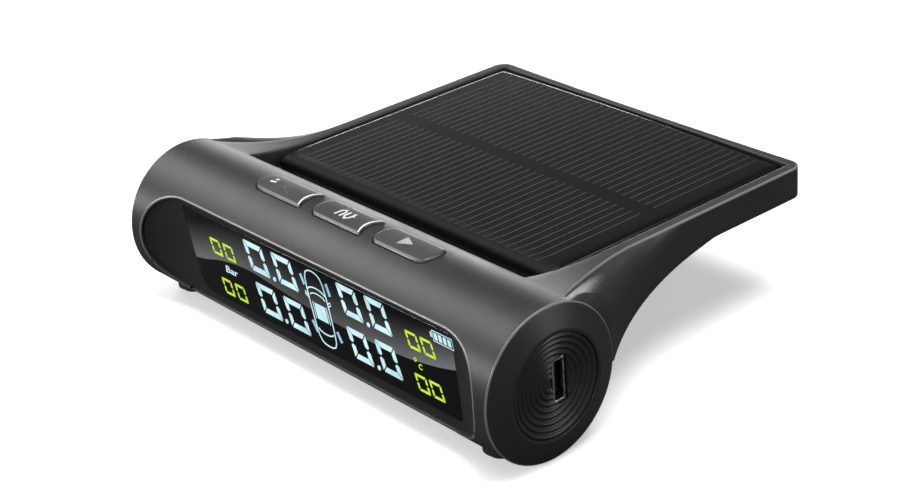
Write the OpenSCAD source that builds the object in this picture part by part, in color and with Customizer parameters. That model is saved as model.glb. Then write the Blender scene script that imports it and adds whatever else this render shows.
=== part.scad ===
// Solar tyre pressure monitor: a dashboard display with three keys and a solar wing.
// X runs along the barrel, the display faces -Y, and Z = 0 is the underside of the pad.
// The barrel's axis is straight above the origin.

/* [Body] */
// Outer radius of the barrel
barrel_r = 13; // [13:0.5:15]
// Length of the barrel's shell between the end caps
barrel_len = 92.8; // [92:0.2:100]
// Width across the solar wing
wing_w = 75; // [74:0.5:78]
// Distance from the barrel's axis to the wing's rear edge
wing_reach = 68; // [68:0.5:72]
// Height of the wing's top face
wing_top = 22.9; // [22.7:0.1:23.1]
// Height of the wing's underside at the rear
wing_bottom = 17.2; // [17:0.1:17.4]
// Thickness of the moulded walls
wall = 1.6; // [1.4:0.1:1.6]
// Radius of the sweep from the wing's sides out to the barrel's ends
sweep_r = 50; // [48:1:52]

/* [Display] */
// Depth of the flat front below the barrel's skin
front_depth = 3.5; // [3.3:0.1:3.7]
// Width of the flat part of the front
front_w = 68; // [66:1:68]
// Radius that carries the front back out to the barrel's skin
front_r = 16; // [15:0.5:17]
// Height of the window
window_h = 14.6; // [14:0.2:14.8]

/* [Keys] */
// Length of each key along the barrel
key_len = 13.5; // [12:0.1:13.6]
// Width of each key across the barrel
key_w = 5.5; // [5:0.1:5.6]
// Spacing of the keys
key_pitch = 15.7; // [15.6:0.1:15.9]
// How far a key stands above the barrel
key_rise = 0.45; // [0.42:0.01:0.6]
// How far a key travels
key_travel = 0.4; // [0.2:0.05:0.4]

/* [Solar panel] */
// Width of the panel
panel_w = 69.2; // [66:0.2:69.4]
// Front edge of the panel
panel_front = 11.7; // [11.5:0.1:12.5]
// Rear edge of the panel
panel_rear = 65.2; // [64:0.1:65.3]
// Height of the domed cover's crown
panel_crown = 22.6; // [22.4:0.1:22.8]

/* [Hidden] */
$fn = 64;
axis_z = barrel_r;
half_len = barrel_len / 2;
inner_r = barrel_r - wall;
half_w = wing_w / 2;
eps = 0.01;
far = 200;

// Wing
sweep_y = 42;
corner_r = 2.5;
slope_y = 46;
slope = 0.195;
wing_root = 4;
wing_skin = 1.2;
cover_gap = 0.15;
tray_floor = 20.2;
tray_skin = 1;
tray_front = 5.9;
tray_rear = 66.3;
tray_w = 70.8;
root_wall_y = 14;

// Barrel front
front_y = -(barrel_r - front_depth);
lip = 0.45;
bezel_set = 0.5;
bezel_t = 1.3;
seam_z = 4.2;
base_r = 12.2;
window_top_left = [-35.4, 20.4];
window_top_right = [35.4, 20.9];
window_low_right = [37.2, 20.9 - window_h];
window_low_left = [-31.2, 20.4 - window_h];

// Foot
foot_w = 66;
foot_front = -6;
foot_rear = 26;
foot_r = 4;
pad_t = 0.8;
pad_inset = 1.2;

// Boards
board_y = -0.9;
board_t = 1.2;
board_w = 76;
board_low = 5;
board_top = 18.9;
board_back = board_y + board_t;
keyboard_z = 19.3;
keyboard_t = 1;
keyboard_top = keyboard_z + keyboard_t;

// Keys
key_y = -0.3;
key_gap = 0.2;
key_round = 1.2;
flange = 0.7;
flange_z = 22.9;
flange_t = 0.6;
plunger_r = 1;
plunger_top = 22.6;
switch_w = 4.5;
switch_top = 22;

// Ends
cap_rise = 1.8;
cap_plug = 3;
cap_plug_gap = 0.15;
ripple_r = 8.9;
ripple_n = 8;
ripple_pitch = 0.98;
dish_sag = 1.1;
port_y = 1.6;
port_z = 13.1;
port_w = 3;
port_h = 7.9;

// Screws
screw_r = 1;
screw_head_r = 1.8;
screw_head_t = 1.1;
pilot_r = 0.8;
post_r = 2.3;
screw_x = 40.8;
screw_y = 5.3;
base_screws = [for (sx = [-1, 1], sy = [-1, 1]) [sx * screw_x, sy * screw_y]];
base_head_z = 3.3;
base_boss_z = 6;
wing_screws = [[-28, 21], [28, 21]];
wing_head_z = 0.1;
cover_boss = 2.6;
board_screws = [[-34.5, 8], [34.5, 8]];

// Cell
cell_r = 4.9;
cell_len = 44;
cell_y = 6.1;
cell_z = 11.9;
cell_x = -6;

// Leads
lead_r = 0.5;
battery_route_low = [[-28.8, 5.6, 13.4], [-29.9, 5.6, 15], [-29.9, 3.6, 16.6], [-29.9, 2.95, 16.6]];
battery_route_high = [[17.6, 5.6, 13.4], [18, 6.4, 16.4], [14, 5.6, 18.2], [-22, 5.6, 18.2],
    [-28.1, 3.8, 17.6], [-28.1, 2.95, 17.4]];
solar_route_a = [[24.6, 20, 20], [24.6, 18.6, 17.6], [24.6, 14, 16.2], [24.6, 9, 15.8],
    [30.2, 5, 15.6], [33, 2, 15]];
solar_route_b = [[23.4, 20, 20], [23.4, 19.4, 16.8], [23.4, 14, 15], [23.4, 9, 14.6],
    [30, 5, 13.6], [33, 2, 13.4]];

// Solar cells
solar_edge = 21.6;
cell_low = 21;
cell_t = 0.25;
cell_split = 37.4;
cell_margin = 3;
band = 1.4;

// Colours
body_grey = "#2f3032";
dark = "#151617";
smoke = "#6b6e70";
board_green = "#1f5b35";
steel = "#b9bcc0";

// ---- Shared shapes ----

// Draws a Y-Z outline and extrudes it along X, centred
module along_x(length) {
    rotate([90, 0, 90]) linear_extrude(height = length, center = true) children();
}

module barrel(r, length) {
    translate([0, 0, axis_z]) rotate([0, 90, 0]) cylinder(r = r, h = length, center = true, $fn = 128);
}

module block(low, high) {
    translate(low) cube(high - low);
}

// Flat plate with four round corners, in plan
module round_rect(w, d, r) {
    square([w - 2 * r, d], center = true);
    square([w, d - 2 * r], center = true);
    for (sx = [-1, 1], sy = [-1, 1])
        translate([sx * (w / 2 - r), sy * (d / 2 - r)]) circle(r);
}

// Plan of the wing, drawn in by inset, with sides that sweep out to the barrel's ends
module wing_plan(inset) {
    depth = wing_reach - inset - sweep_y / 2;
    translate([0, wing_reach - inset - depth / 2])
        round_rect(wing_w - 2 * inset, depth, corner_r - inset / 2);
    difference() {
        translate([-half_len, wing_root]) square([barrel_len, sweep_y - wing_root]);
        for (side = [-1, 1])
            translate([side * (half_w + sweep_r), sweep_y]) circle(sweep_r + inset, $fn = 256);
    }
}

function under_z(y) = y > slope_y ? wing_bottom : wing_bottom - (slope_y - y) * slope;

// Side outline of the wing, with its top lowered by drop
module wing_side(drop) {
    polygon([[wing_root, under_z(wing_root)], [slope_y, wing_bottom], [wing_reach + 1, wing_bottom],
        [wing_reach + 1, wing_top - drop], [wing_root, wing_top - drop]]);
}

// Plan of everything in front of the display face, moved back by shift
module front_plan(shift) {
    flat = front_w / 2;
    translate([0, shift]) difference() {
        translate([-half_len, -2 * barrel_r]) square([barrel_len, 2 * barrel_r + front_y]);
        for (side = [-1, 1]) difference() {
            translate([side > 0 ? flat : -half_len - eps, front_y - front_r])
                square([half_len - flat + eps, front_r + eps]);
            translate([side * flat, front_y - front_r]) circle(front_r, $fn = 128);
        }
    }
}

module front_cut(shift) {
    linear_extrude(height = 2 * barrel_r + 4) front_plan(shift);
}

module window_outline(grow) {
    corners = [window_top_left, window_top_right, window_low_right, window_low_left];
    middle = (window_top_left + window_top_right + window_low_right + window_low_left) / 4;
    reach = window_top_right - middle;
    scale_up = 1 + grow / norm([0, reach[1]]);
    polygon([for (c = corners) [middle[0] + (c[0] - middle[0]) * (1 + grow / norm([reach[0], 0])),
        middle[1] + (c[1] - middle[1]) * scale_up]]);
}

// A plate in the X-Z plane from y = back to y = front
module upright(front, back) {
    translate([0, back, 0]) rotate([90, 0, 0]) linear_extrude(height = back - front) children();
}

function key_x(i) = i * key_pitch;

// One key's plan, grown by gap
module key_plan(gap) {
    round_rect(key_len + 2 * gap, key_w + 2 * gap, key_round + gap);
}

// ---- Housing ----

module key_slots() {
    for (i = [-1, 0, 1])
        translate([key_x(i), key_y, axis_z + 5]) linear_extrude(height = far) key_plan(key_gap);
}

module housing_posts() {
    for (p = base_screws) translate([p[0], p[1], base_boss_z + 0.1]) cylinder(r = post_r, h = 2 * inner_r);
    for (p = wing_screws)
        translate([p[0], p[1], under_z(p[1]) + cover_boss + 0.1])
            cylinder(r = post_r, h = tray_floor - under_z(p[1]) - cover_boss - 0.5);
}

module housing_pilots() {
    for (p = base_screws) translate([p[0], p[1], base_boss_z - eps]) cylinder(r = pilot_r, h = 5);
    for (p = wing_screws) translate([p[0], p[1], under_z(p[1])]) cylinder(r = pilot_r, h = 6);
}

module tray_pocket() {
    block([-tray_w / 2, tray_front, tray_floor], [tray_w / 2, tray_rear, far]);
}

module tray_closure() {
    floor_low = tray_floor - tray_skin;
    block([-tray_w / 2 - 1, tray_front - 1, floor_low], [tray_w / 2 + 1, root_wall_y, tray_floor]);
    intersection() {
        barrel(barrel_r, barrel_len);
        block([-tray_w / 2 - 1, tray_front - 1, floor_low], [tray_w / 2 + 1, tray_front, far]);
    }
    for (side = [-1, 1]) intersection() {
        along_x(barrel_len) union() {
            wing_side(0);
            translate([0, axis_z]) circle(barrel_r, $fn = 128);
        }
        translate([side * (tray_w / 2 + 0.5), root_wall_y / 2 + 2.5, floor_low + 5])
            cube([1, root_wall_y - 4, 10], center = true);
    }
}

module upper_housing() {
    color(body_grey) difference() {
        union() {
            difference() {
                union() {
                    barrel(barrel_r, barrel_len);
                    intersection() {
                        linear_extrude(height = far) wing_plan(0);
                        along_x(barrel_len) wing_side(0);
                    }
                }
                barrel(inner_r, barrel_len + 2);
                intersection() {
                    linear_extrude(height = far) wing_plan(wall);
                    along_x(barrel_len) polygon([[root_wall_y, 0], [far, 0],
                        [far, tray_floor - tray_skin], [root_wall_y, tray_floor - tray_skin]]);
                }
            }
            tray_closure();
            intersection() {
                housing_posts();
                along_x(barrel_len) union() {
                    translate([0, axis_z]) circle(barrel_r - 0.5);
                    wing_side(0.5);
                }
            }
        }
        tray_pocket();
        front_cut(0);
        intersection() {
            front_cut(bezel_set + bezel_t + 0.1);
            barrel(barrel_r - lip, barrel_len + 2);
        }
        translate([0, 0, seam_z - far / 2]) cube([far, far, far], center = true);
        key_slots();
        housing_pilots();
        translate([24, 20, tray_floor - 2]) cylinder(r = 1.2, h = 3);
        translate([24, 8, 15.4]) rotate([-90, 0, 0]) cylinder(r = 2.4, h = 8);
    }
}

module wing_cover() {
    color(body_grey) difference() {
        union() {
            intersection() {
                linear_extrude(height = far) wing_plan(wall + cover_gap);
                along_x(barrel_len) polygon([[root_wall_y, under_z(root_wall_y)],
                    [slope_y, wing_bottom], [far, wing_bottom], [far, wing_bottom + wing_skin],
                    [slope_y, wing_bottom + wing_skin], [root_wall_y, under_z(root_wall_y) + wing_skin]]);
            }
            for (p = wing_screws)
                translate([p[0], p[1], under_z(p[1]) + 0.6]) cylinder(r = 3, h = cover_boss - 0.6);
        }
        for (p = wing_screws) translate([p[0], p[1], under_z(p[1]) - 2]) {
            cylinder(r = screw_r + 0.15, h = 6);
            cylinder(r = screw_head_r + 0.1, h = 2 + wing_head_z + screw_head_t);
        }
    }
}

module base_bosses(height) {
    for (p = base_screws) translate([p[0], p[1], 0]) cylinder(r = post_r + 0.6, h = height);
}

module base_cover() {
    color(body_grey) difference() {
        union() {
            difference() {
                union() {
                    intersection() {
                        barrel(base_r, barrel_len - 0.4);
                        block([-far, -far, 0], [far, far, seam_z]);
                    }
                    translate([0, (foot_front + foot_rear) / 2, pad_t])
                        linear_extrude(height = seam_z - pad_t)
                            round_rect(foot_w, foot_rear - foot_front, foot_r);
                }
                intersection() {
                    barrel(inner_r, barrel_len + 2);
                    block([-far, -far, pad_t + wall], [far, far, far]);
                }
            }
            intersection() {
                base_bosses(seam_z);
                barrel(inner_r + 0.2, barrel_len);
            }
            intersection() {
                base_bosses(base_boss_z);
                barrel(inner_r - 0.1, barrel_len);
            }
            cell_cradle();
        }
        for (p = base_screws) translate([p[0], p[1], 0]) {
            cylinder(r = screw_r + 0.15, h = base_boss_z + 1);
            cylinder(r = screw_head_r + 0.1, h = base_head_z + screw_head_t);
        }
        front_cut(bezel_set);
        for (side = [-1, 1]) translate([side * half_len, 0, 0]) barrel(inner_r, 2 * cap_plug + 0.2);
        block([-far, -far, -1], [far, far, pad_t]);
        block([2 - foot_w / 2, inner_r - 0.6, pad_t + wall], [foot_w / 2 - 2, foot_rear - 2, seam_z - 1]);
    }
}

module cell_cradle() {
    for (x = [cell_x - 16, cell_x + 16]) difference() {
        block([x - 1, 2.4, pad_t + wall - 0.3], [x + 1, 9.2, cell_z - 2]);
        translate([x, cell_y, cell_z]) rotate([0, 90, 0])
            cylinder(r = cell_r + 0.05, h = 4, center = true);
        difference() {
            block([x - 2, 0, 0], [x + 2, 14, axis_z]);
            barrel(inner_r - 0.1, barrel_len);
        }
    }
}

module grip_pad() {
    color("#1b1b1c") translate([0, (foot_front + foot_rear) / 2, 0]) linear_extrude(height = pad_t)
        round_rect(foot_w - 2 * pad_inset, foot_rear - foot_front - 2 * pad_inset, foot_r - pad_inset);
}

// ---- Display ----

module front_bezel() {
    color(dark) difference() {
        intersection() {
            barrel(barrel_r - lip - 0.05, barrel_len - 3.6);
            difference() {
                front_cut(bezel_set + bezel_t);
                front_cut(bezel_set);
            }
            block([-far, -far, seam_z + 0.6], [far, far, far]);
        }
        upright(-far, far) window_outline(-1);
        upright(front_y + bezel_set - 1, front_y + bezel_set + 0.8) window_outline(0.1);
    }
    color(dark) for (p = board_screws) difference() {
        translate([p[0], board_y - 0.02, p[1]]) rotate([90, 0, 0]) cylinder(r = 1.9, h = 6.8);
        translate([p[0], board_y + 1, p[1]]) rotate([90, 0, 0]) cylinder(r = pilot_r, h = 5);
    }
}

module display_window() {
    color("#0b0c0e") upright(front_y + bezel_set - 0.15, front_y + bezel_set + 0.8) window_outline(0);
}

module display_panel() {
    color("#16202a") block([-32.4, front_y + 1.9, 5.6], [32.4, front_y + 3.5, 20.6]);
}

module light_guide() {
    color("#dfe6e8") block([-32, front_y + 3.6, 6.4], [32, front_y + 5.4, 19.8]);
}

module display_holder() {
    color("#e6e6e2") difference() {
        block([-34, front_y + 3.55, 5.4], [34, board_y - 0.3, 20.4]);
        block([-32.5, front_y, 6.3], [32.5, front_y + 5.5, 19.9]);
        for (x = [-21, 0, 21]) block([x - 8, front_y + 5, 6.3], [x + 8, 0, 17]);
        block([-far, board_y - 3, keyboard_z - 0.1], [far, 0, far]);
        for (p = board_screws) translate([p[0], 0, p[1]]) rotate([90, 0, 0]) cylinder(r = 2.2, h = 20);
    }
}

module display_pins() {
    color(steel) for (i = [-14 : 14])
        block([i * 2 - 0.2, front_y + 1.9, 4.9], [i * 2 + 0.2, board_y, 5.3]);
}

module backlight_lamps() {
    color("#f4f2d8") for (x = [-21, 0, 21]) translate([x, 0, 12])
        block([-1.4, board_y - 1.2, -1.1], [1.4, board_y, 1.1]);
}

// ---- Electronics ----

module main_board() {
    color(board_green) difference() {
        block([-board_w / 2, board_y, board_low], [board_w / 2, board_back, board_top]);
        for (p = board_screws)
            translate([p[0], 0, p[1]]) rotate([90, 0, 0]) cylinder(r = screw_r + 0.1, h = 6, center = true);
    }
}

// A part soldered on the board's rear face, centred at x and z
module rear_part(x, z, w, h, t) {
    block([x - w / 2, board_back, z - h / 2], [x + w / 2, board_back + t, z + h / 2]);
}

module controller_chip() {
    color(dark) rear_part(24.5, 9, 7, 7, 1);
}

module receiver_chip() {
    color(dark) rear_part(30.2, 7, 4, 2.6, 1);
}

module charger_chip() {
    color(dark) rear_part(33, 14, 4, 3, 1.1);
}

module timing_crystal() {
    color(steel) rear_part(30.8, 10.2, 3.2, 2.5, 0.9);
}

module antenna_coil() {
    turn = 1;
    color("#b87333") translate([-30.5, board_back + 1.4, 6.4]) for (i = [0 : 8])
        translate([0, 0, i * turn]) rotate_extrude() translate([1, 0]) circle(0.36, $fn = 16);
    color("#b87333") block([-29.8, board_back, 6.2], [-29.2, board_back + 1.4, 14.6]);
}

module buzzer() {
    color(dark) translate([20, board_back, 15.6]) difference() {
        rotate([-90, 0, 0]) cylinder(r = 3, h = 2.5);
        translate([0, 1.5, 0]) rotate([-90, 0, 0]) cylinder(r = 0.6, h = 2);
    }
}

module motion_sensor() {
    color("#c9a24a") translate([27, board_back, 17.2]) rotate([-90, 0, 0]) cylinder(r = 1.2, h = 3.2);
}

module usb_socket() {
    shell = 0.35;
    mouth = [port_w - 0.5, port_h - 0.5];
    color(steel) difference() {
        block([half_len - 5.4, port_y - mouth[0] / 2, port_z - mouth[1] / 2],
            [half_len + 0.4, port_y + mouth[0] / 2, port_z + mouth[1] / 2]);
        block([half_len - 4.9, port_y - mouth[0] / 2 + shell, port_z - mouth[1] / 2 + shell],
            [half_len + 1, port_y + mouth[0] / 2 - shell, port_z + mouth[1] / 2 - shell]);
    }
    color(steel) block([board_w / 2 - 2, board_back, port_z - 2], [half_len - 5.35, board_back + 0.6, port_z + 2]);
}

module usb_tongue() {
    color(dark) block([half_len - 4.9, port_y - 0.3, port_z - 2.4], [half_len - 0.6, port_y + 0.3, port_z + 2.4]);
}

module battery_cell() {
    color("#3f6fa8") translate([cell_x, cell_y, cell_z]) rotate([0, 90, 0]) {
        cylinder(r = cell_r, h = cell_len, center = true);
        translate([0, 0, cell_len / 2]) cylinder(r = 2, h = 0.8);
    }
}

module battery_tabs() {
    high = cell_x + cell_len / 2 + 0.8;
    low = cell_x - cell_len / 2;
    color(steel) block([high, cell_y - 1.5, cell_z - 2], [high + 0.3, cell_y + 1.5, cell_z + 2]);
    color(steel) block([low - 0.3, cell_y - 1.5, cell_z - 2], [low, cell_y + 1.5, cell_z + 2]);
}

module battery_plug() {
    color("#f0efe8") rear_part(-29, 17, 4.4, 2.4, 2.6);
}

// Directions along a route, taken across each inner point
function route_dir(p, i) = let (a = p[max(i - 1, 0)], b = p[min(i + 1, len(p) - 1)]) (b - a) / norm(b - a);
function side_of(d) = let (s = cross(d, abs(d[2]) > 0.8 ? [0, sign(d[2]), 0] : [0, 0, 1])) s / norm(s);
function route_ring(p, i, n) = let (d = route_dir(p, i), u = side_of(d), v = cross(u, d))
    [for (k = [0 : n - 1]) p[i] + lead_r * (u * cos(360 * k / n) + v * sin(360 * k / n))];

// A round lead that follows a route, swept as one closed tube
module lead_route(points) {
    n = 8;
    last = len(points) - 1;
    rings = [for (i = [0 : last]) each route_ring(points, i, n)];
    sides = [for (i = [0 : last - 1], k = [0 : n - 1]) let (a = i * n + k, b = i * n + (k + 1) % n)
        each [[a, b, b + n], [a, b + n, a + n]]];
    ends = [for (k = [1 : n - 2]) each [[0, k + 1, k], [last * n, last * n + k, last * n + k + 1]]];
    polyhedron(points = rings, faces = concat(sides, ends), convexity = 4);
}

module battery_leads() {
    color("#b3261e") lead_route(battery_route_high);
    color("#202020") lead_route(battery_route_low);
}

module key_board() {
    color(board_green) block([-25, -3.6, keyboard_z], [25, 3.6, keyboard_top]);
}

module board_link() {
    color(steel) for (i = [-3 : 3])
        block([i * 2 - 0.25, board_y + 0.3, board_top], [i * 2 + 0.25, board_y + 0.8, keyboard_z]);
}

// Switch case with a hole that the plunger slides in
module switch_case(i) {
    color(dark) difference() {
        translate([key_x(i), key_y, (keyboard_top + switch_top) / 2])
            cube([switch_w, switch_w, switch_top - keyboard_top], center = true);
        translate([key_x(i), key_y, keyboard_top + 0.3]) cylinder(r = plunger_r + 0.05, h = 4);
    }
}

module switch_plunger(i) {
    low = keyboard_top + key_travel + 0.4;
    color("#d8d4c8") translate([key_x(i), key_y, low]) cylinder(r = plunger_r, h = plunger_top - low);
}

// Curved key cap on a flange that the housing holds down
module key(i) {
    color(smoke) translate([key_x(i), key_y, 0]) {
        intersection() {
            translate([0, 0, flange_z]) linear_extrude(height = far) key_plan(0);
            translate([0, -key_y, 0]) barrel(barrel_r + key_rise, barrel_len);
        }
        intersection() {
            translate([0, 0, flange_z]) linear_extrude(height = flange_t)
                round_rect(key_len + 2 * flange, key_w + 2 * flange, key_round + flange);
            translate([0, -key_y, 0]) barrel(inner_r - 0.1, barrel_len);
        }
        translate([0, 0, plunger_top]) cylinder(r = 1.4, h = flange_z - plunger_top + 0.1);
    }
}

module switch_back() { switch_case(-1); }
module switch_set() { switch_case(0); }
module switch_next() { switch_case(1); }
module plunger_back() { switch_plunger(-1); }
module plunger_set() { switch_plunger(0); }
module plunger_next() { switch_plunger(1); }
module key_back() { key(-1); }
module key_set() { key(0); }
module key_next() { key(1); }

// ---- Solar panel ----

module solar_board() {
    color("#101113") block([-panel_w / 2, panel_front, tray_floor], [panel_w / 2, panel_rear, cell_low]);
}

module solar_half(front, rear) {
    half = panel_w / 2 - cell_margin;
    color("#15181f") block([-half, front, cell_low], [half, rear, cell_low + cell_t]);
}

module solar_cell_front() { solar_half(panel_front + 1.6, cell_split - band); }
module solar_cell_rear() { solar_half(cell_split + band, panel_rear - 1.2); }

// Clear cover over both cells, crowned across its width
module solar_cover() {
    steps = 24;
    rise = panel_crown - solar_edge;
    crown = [for (i = [0 : steps]) let (x = panel_w * (i / steps - 0.5))
        [x, panel_crown - rise * pow(2 * x / panel_w, 2)]];
    color("#0c0d10") difference() {
        translate([0, panel_rear, 0]) rotate([90, 0, 0]) linear_extrude(height = panel_rear - panel_front)
            polygon(concat(crown, [[panel_w / 2, cell_low], [-panel_w / 2, cell_low]]));
        solar_half(panel_front + 1.6, cell_split - band);
        solar_half(cell_split + band, panel_rear - 1.2);
    }
}

module solar_leads() {
    color("#b3261e") lead_route(solar_route_a);
    color("#202020") lead_route(solar_route_b);
}

// ---- Ends ----

// Round cap on +X: a cone up to a dished field of round ripples, and a plug that fits the barrel
module end_cap() {
    field_x = cap_rise;
    dish_r = (ripple_r * ripple_r + dish_sag * dish_sag) / (2 * dish_sag);
    translate([half_len, 0, axis_z]) rotate([0, 90, 0]) difference() {
        union() {
            rotate_extrude($fn = 128) polygon([[0, -0.9], [inner_r - cap_plug_gap - 1.2, -0.9],
                [inner_r - cap_plug_gap - 1.2, -cap_plug], [inner_r - cap_plug_gap, -cap_plug],
                [inner_r - cap_plug_gap, 0], [barrel_r, 0], [barrel_r, 0.25], [ripple_r, field_x],
                [0, field_x]]);
        }
        translate([0, 0, field_x - dish_sag + dish_r]) sphere(r = dish_r, $fn = 128);
        for (i = [0 : ripple_n - 1]) {
            r = ripple_r - 0.3 - i * ripple_pitch;
            rotate_extrude($fn = 96)
                translate([r, field_x - dish_sag + dish_r - sqrt(dish_r * dish_r - r * r)])
                    circle(0.26, $fn = 16);
        }
        plug_gap();
    }
}

// Cuts the plug ring away where the bezel runs past it
module plug_gap() {
    translate([0, -inner_r, -cap_plug / 2 - 0.5]) cube([18, 6, cap_plug - 1], center = true);
}

module left_end_cap() {
    color(body_grey) mirror([1, 0, 0]) end_cap();
}

module right_end_cap() {
    color(body_grey) difference() {
        end_cap();
        block([half_len - 2, port_y - port_w / 2, port_z - port_h / 2],
            [half_len + 5, port_y + port_w / 2, port_z + port_h / 2]);
    }
}

// ---- Screws ----

// Screw with its head at the bottom and its tip up
module screw(length) {
    difference() {
        union() {
            cylinder(r = screw_head_r, h = screw_head_t);
            cylinder(r = pilot_r - 0.02, h = screw_head_t + length);
        }
        translate([0, 0, -eps]) cylinder(r = 0.9, h = 0.6, $fn = 6);
    }
}

module base_screw_set() {
    color(steel) for (p = base_screws) translate([p[0], p[1], base_head_z]) screw(6);
}

module wing_screw_set() {
    color(steel) for (p = wing_screws) translate([p[0], p[1], under_z(p[1]) + wing_head_z]) screw(4.5);
}

module board_screw_set() {
    color(steel) for (p = board_screws)
        translate([p[0], board_back + screw_head_t, p[1]]) rotate([90, 0, 0]) screw(4.5);
}

upper_housing();
wing_cover();
base_cover();
grip_pad();
front_bezel();
display_window();
display_panel();
light_guide();
display_holder();
display_pins();
backlight_lamps();
main_board();
controller_chip();
receiver_chip();
charger_chip();
timing_crystal();
antenna_coil();
buzzer();
motion_sensor();
usb_socket();
usb_tongue();
battery_cell();
battery_tabs();
battery_plug();
battery_leads();
key_board();
board_link();
switch_back();
switch_set();
switch_next();
plunger_back();
plunger_set();
plunger_next();
key_back();
key_set();
key_next();
solar_board();
solar_cell_front();
solar_cell_rear();
solar_cover();
solar_leads();
left_end_cap();
right_end_cap();
base_screw_set();
wing_screw_set();
board_screw_set();
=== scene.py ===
import math
import bpy
import bmesh
from mathutils import Matrix, Vector


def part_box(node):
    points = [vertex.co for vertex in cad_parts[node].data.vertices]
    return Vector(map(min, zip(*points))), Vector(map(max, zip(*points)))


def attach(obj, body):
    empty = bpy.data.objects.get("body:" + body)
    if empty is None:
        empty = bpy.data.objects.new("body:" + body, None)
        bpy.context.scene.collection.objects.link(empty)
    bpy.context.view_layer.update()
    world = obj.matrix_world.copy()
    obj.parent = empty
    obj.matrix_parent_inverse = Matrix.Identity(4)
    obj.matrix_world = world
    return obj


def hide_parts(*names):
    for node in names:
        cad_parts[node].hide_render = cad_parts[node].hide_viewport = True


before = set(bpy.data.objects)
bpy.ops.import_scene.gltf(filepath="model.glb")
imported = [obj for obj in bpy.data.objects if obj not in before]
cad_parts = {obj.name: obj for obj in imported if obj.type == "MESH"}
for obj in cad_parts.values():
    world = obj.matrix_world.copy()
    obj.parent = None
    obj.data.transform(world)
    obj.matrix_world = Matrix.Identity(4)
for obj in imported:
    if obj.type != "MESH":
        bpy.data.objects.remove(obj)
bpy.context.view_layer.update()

mm = 0.001
scene = bpy.context.scene


def boxMm(node):
    low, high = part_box(node)
    return low / mm, high / mm


housingHigh = boxMm("upper_housing")[1]
capLow, capHigh = boxMm("right_end_cap")
print("frame loaded,", len(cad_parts), "nodes")

# sizes shared by several pieces, in mm
barrel = {
    "radius": (capHigh.z - capLow.z) / 2,
    "axisZ": (capHigh.z + capLow.z) / 2,
    "half": housingHigh.x,
    "faceY": -9.5,      # flat display face
    "faceHalf": 34.0,   # half width of its flat part
    "faceR": 16.0,      # radius that carries it out to the skin
    "lip": 0.45,        # width of the lip round the face
    "setBack": 0.5,     # bezel behind the lip
    "seamZ": 4.2,
}
wing = {
    "half": 37.5,
    "rearY": housingHigh.y,
    "top": 22.9,
    "bottom": 17.2,
    "slope": 0.195,     # fall of the underside towards the barrel
    "slopeY": 46.0,
    "sweepR": 50.0,
    "sweepY": 42.0,
    "cornerR": 2.5,
    "frontY": 5.0,      # where the side ridge runs out on the barrel
    "ridgeY": 28.0,     # behind this the ridge is straight
    "ridgeFlare": 7.5,
    "endBottomY": 13.4,
}
tray = {"half": 35.4, "front": 5.9, "rear": 66.3, "floor": 20.2, "edge": 0.3, "cornerR": 0.8}


# mesh helpers
def onBarrel(x, angle, radius=None):
    # angle runs from the top towards the display
    r = barrel["radius"] if radius is None else radius
    return Vector((x, -r * math.sin(angle), barrel["axisZ"] + r * math.cos(angle)))


def resample(points, count):
    lengths = [0.0]
    for a, b in zip(points, points[1:]):
        lengths.append(lengths[-1] + (b - a).length)
    places, k = [], 0
    for i in range(count):
        want = lengths[-1] * i / (count - 1)
        while k < len(points) - 2 and lengths[k + 1] < want:
            k += 1
        span = lengths[k + 1] - lengths[k]
        places.append(points[k].lerp(points[k + 1], (want - lengths[k]) / span if span > 1e-9 else 0))
    return places


def curve2(a, b, c, steps):
    # quadratic curve from a to c, pulled towards b, both ends left in
    return [a * (1 - u) ** 2 + b * 2 * u * (1 - u) + c * u * u for u in (i / steps for i in range(steps + 1))]


def smooth(u):
    u = min(max(u, 0), 1)
    return u * u * (3 - 2 * u)


def curve3(a, b, c, d, u):
    v = 1 - u
    return a * v ** 3 + b * 3 * v * v * u + c * 3 * v * u * u + d * u ** 3


def addGrid(bm, rows, outward, edge=(0, 0)):
    # quads between rows of points, turned so that the middle one faces outward
    # columns within edge get the second finish, the painted highlight
    grid = [[bm.verts.new(p) for p in row] for row in rows]
    faces = []
    for a, b in zip(grid, grid[1:]):
        for i in range(len(a) - 1):
            faces.append(bm.faces.new((a[i], a[i + 1], b[i + 1], b[i])))
            faces[-1].material_index = int(edge[0] <= i < edge[1])
    middle = faces[len(faces) // 2]
    middle.normal_update()
    want = Vector(outward(middle.calc_center_median()) if callable(outward) else outward)
    if middle.normal.dot(want) < 0:
        bmesh.ops.reverse_faces(bm, faces=faces)


def addRings(bm, rings, capStart=True, capEnd=True):
    # closed rings joined one after another, ends filled, normals put right
    loops = [[bm.verts.new(p) for p in ring] for ring in rings]
    for a, b in zip(loops, loops[1:]):
        for i in range(len(a)):
            j = (i + 1) % len(a)
            bm.faces.new((a[i], a[j], b[j], b[i]))
    if capStart:
        bm.faces.new(loops[0])
    if capEnd:
        bm.faces.new(list(reversed(loops[-1])))


def cleanMesh(bm, gap=0.004):
    bmesh.ops.remove_doubles(bm, verts=bm.verts, dist=gap)
    bmesh.ops.dissolve_degenerate(bm, edges=bm.edges, dist=gap / 2)
    loose = [v for v in bm.verts if not v.link_faces]
    bmesh.ops.delete(bm, geom=loose, context="VERTS")


def newObject(name, bm):
    bmesh.ops.scale(bm, vec=(mm, mm, mm), verts=bm.verts)
    mesh = bpy.data.meshes.new(name)
    bm.to_mesh(mesh)
    bm.free()
    piece = bpy.data.objects.new(name, mesh)
    scene.collection.objects.link(piece)
    return piece


def closedObject(name, bm):
    bmesh.ops.recalc_face_normals(bm, faces=bm.faces)
    return newObject(name, bm)


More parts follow.
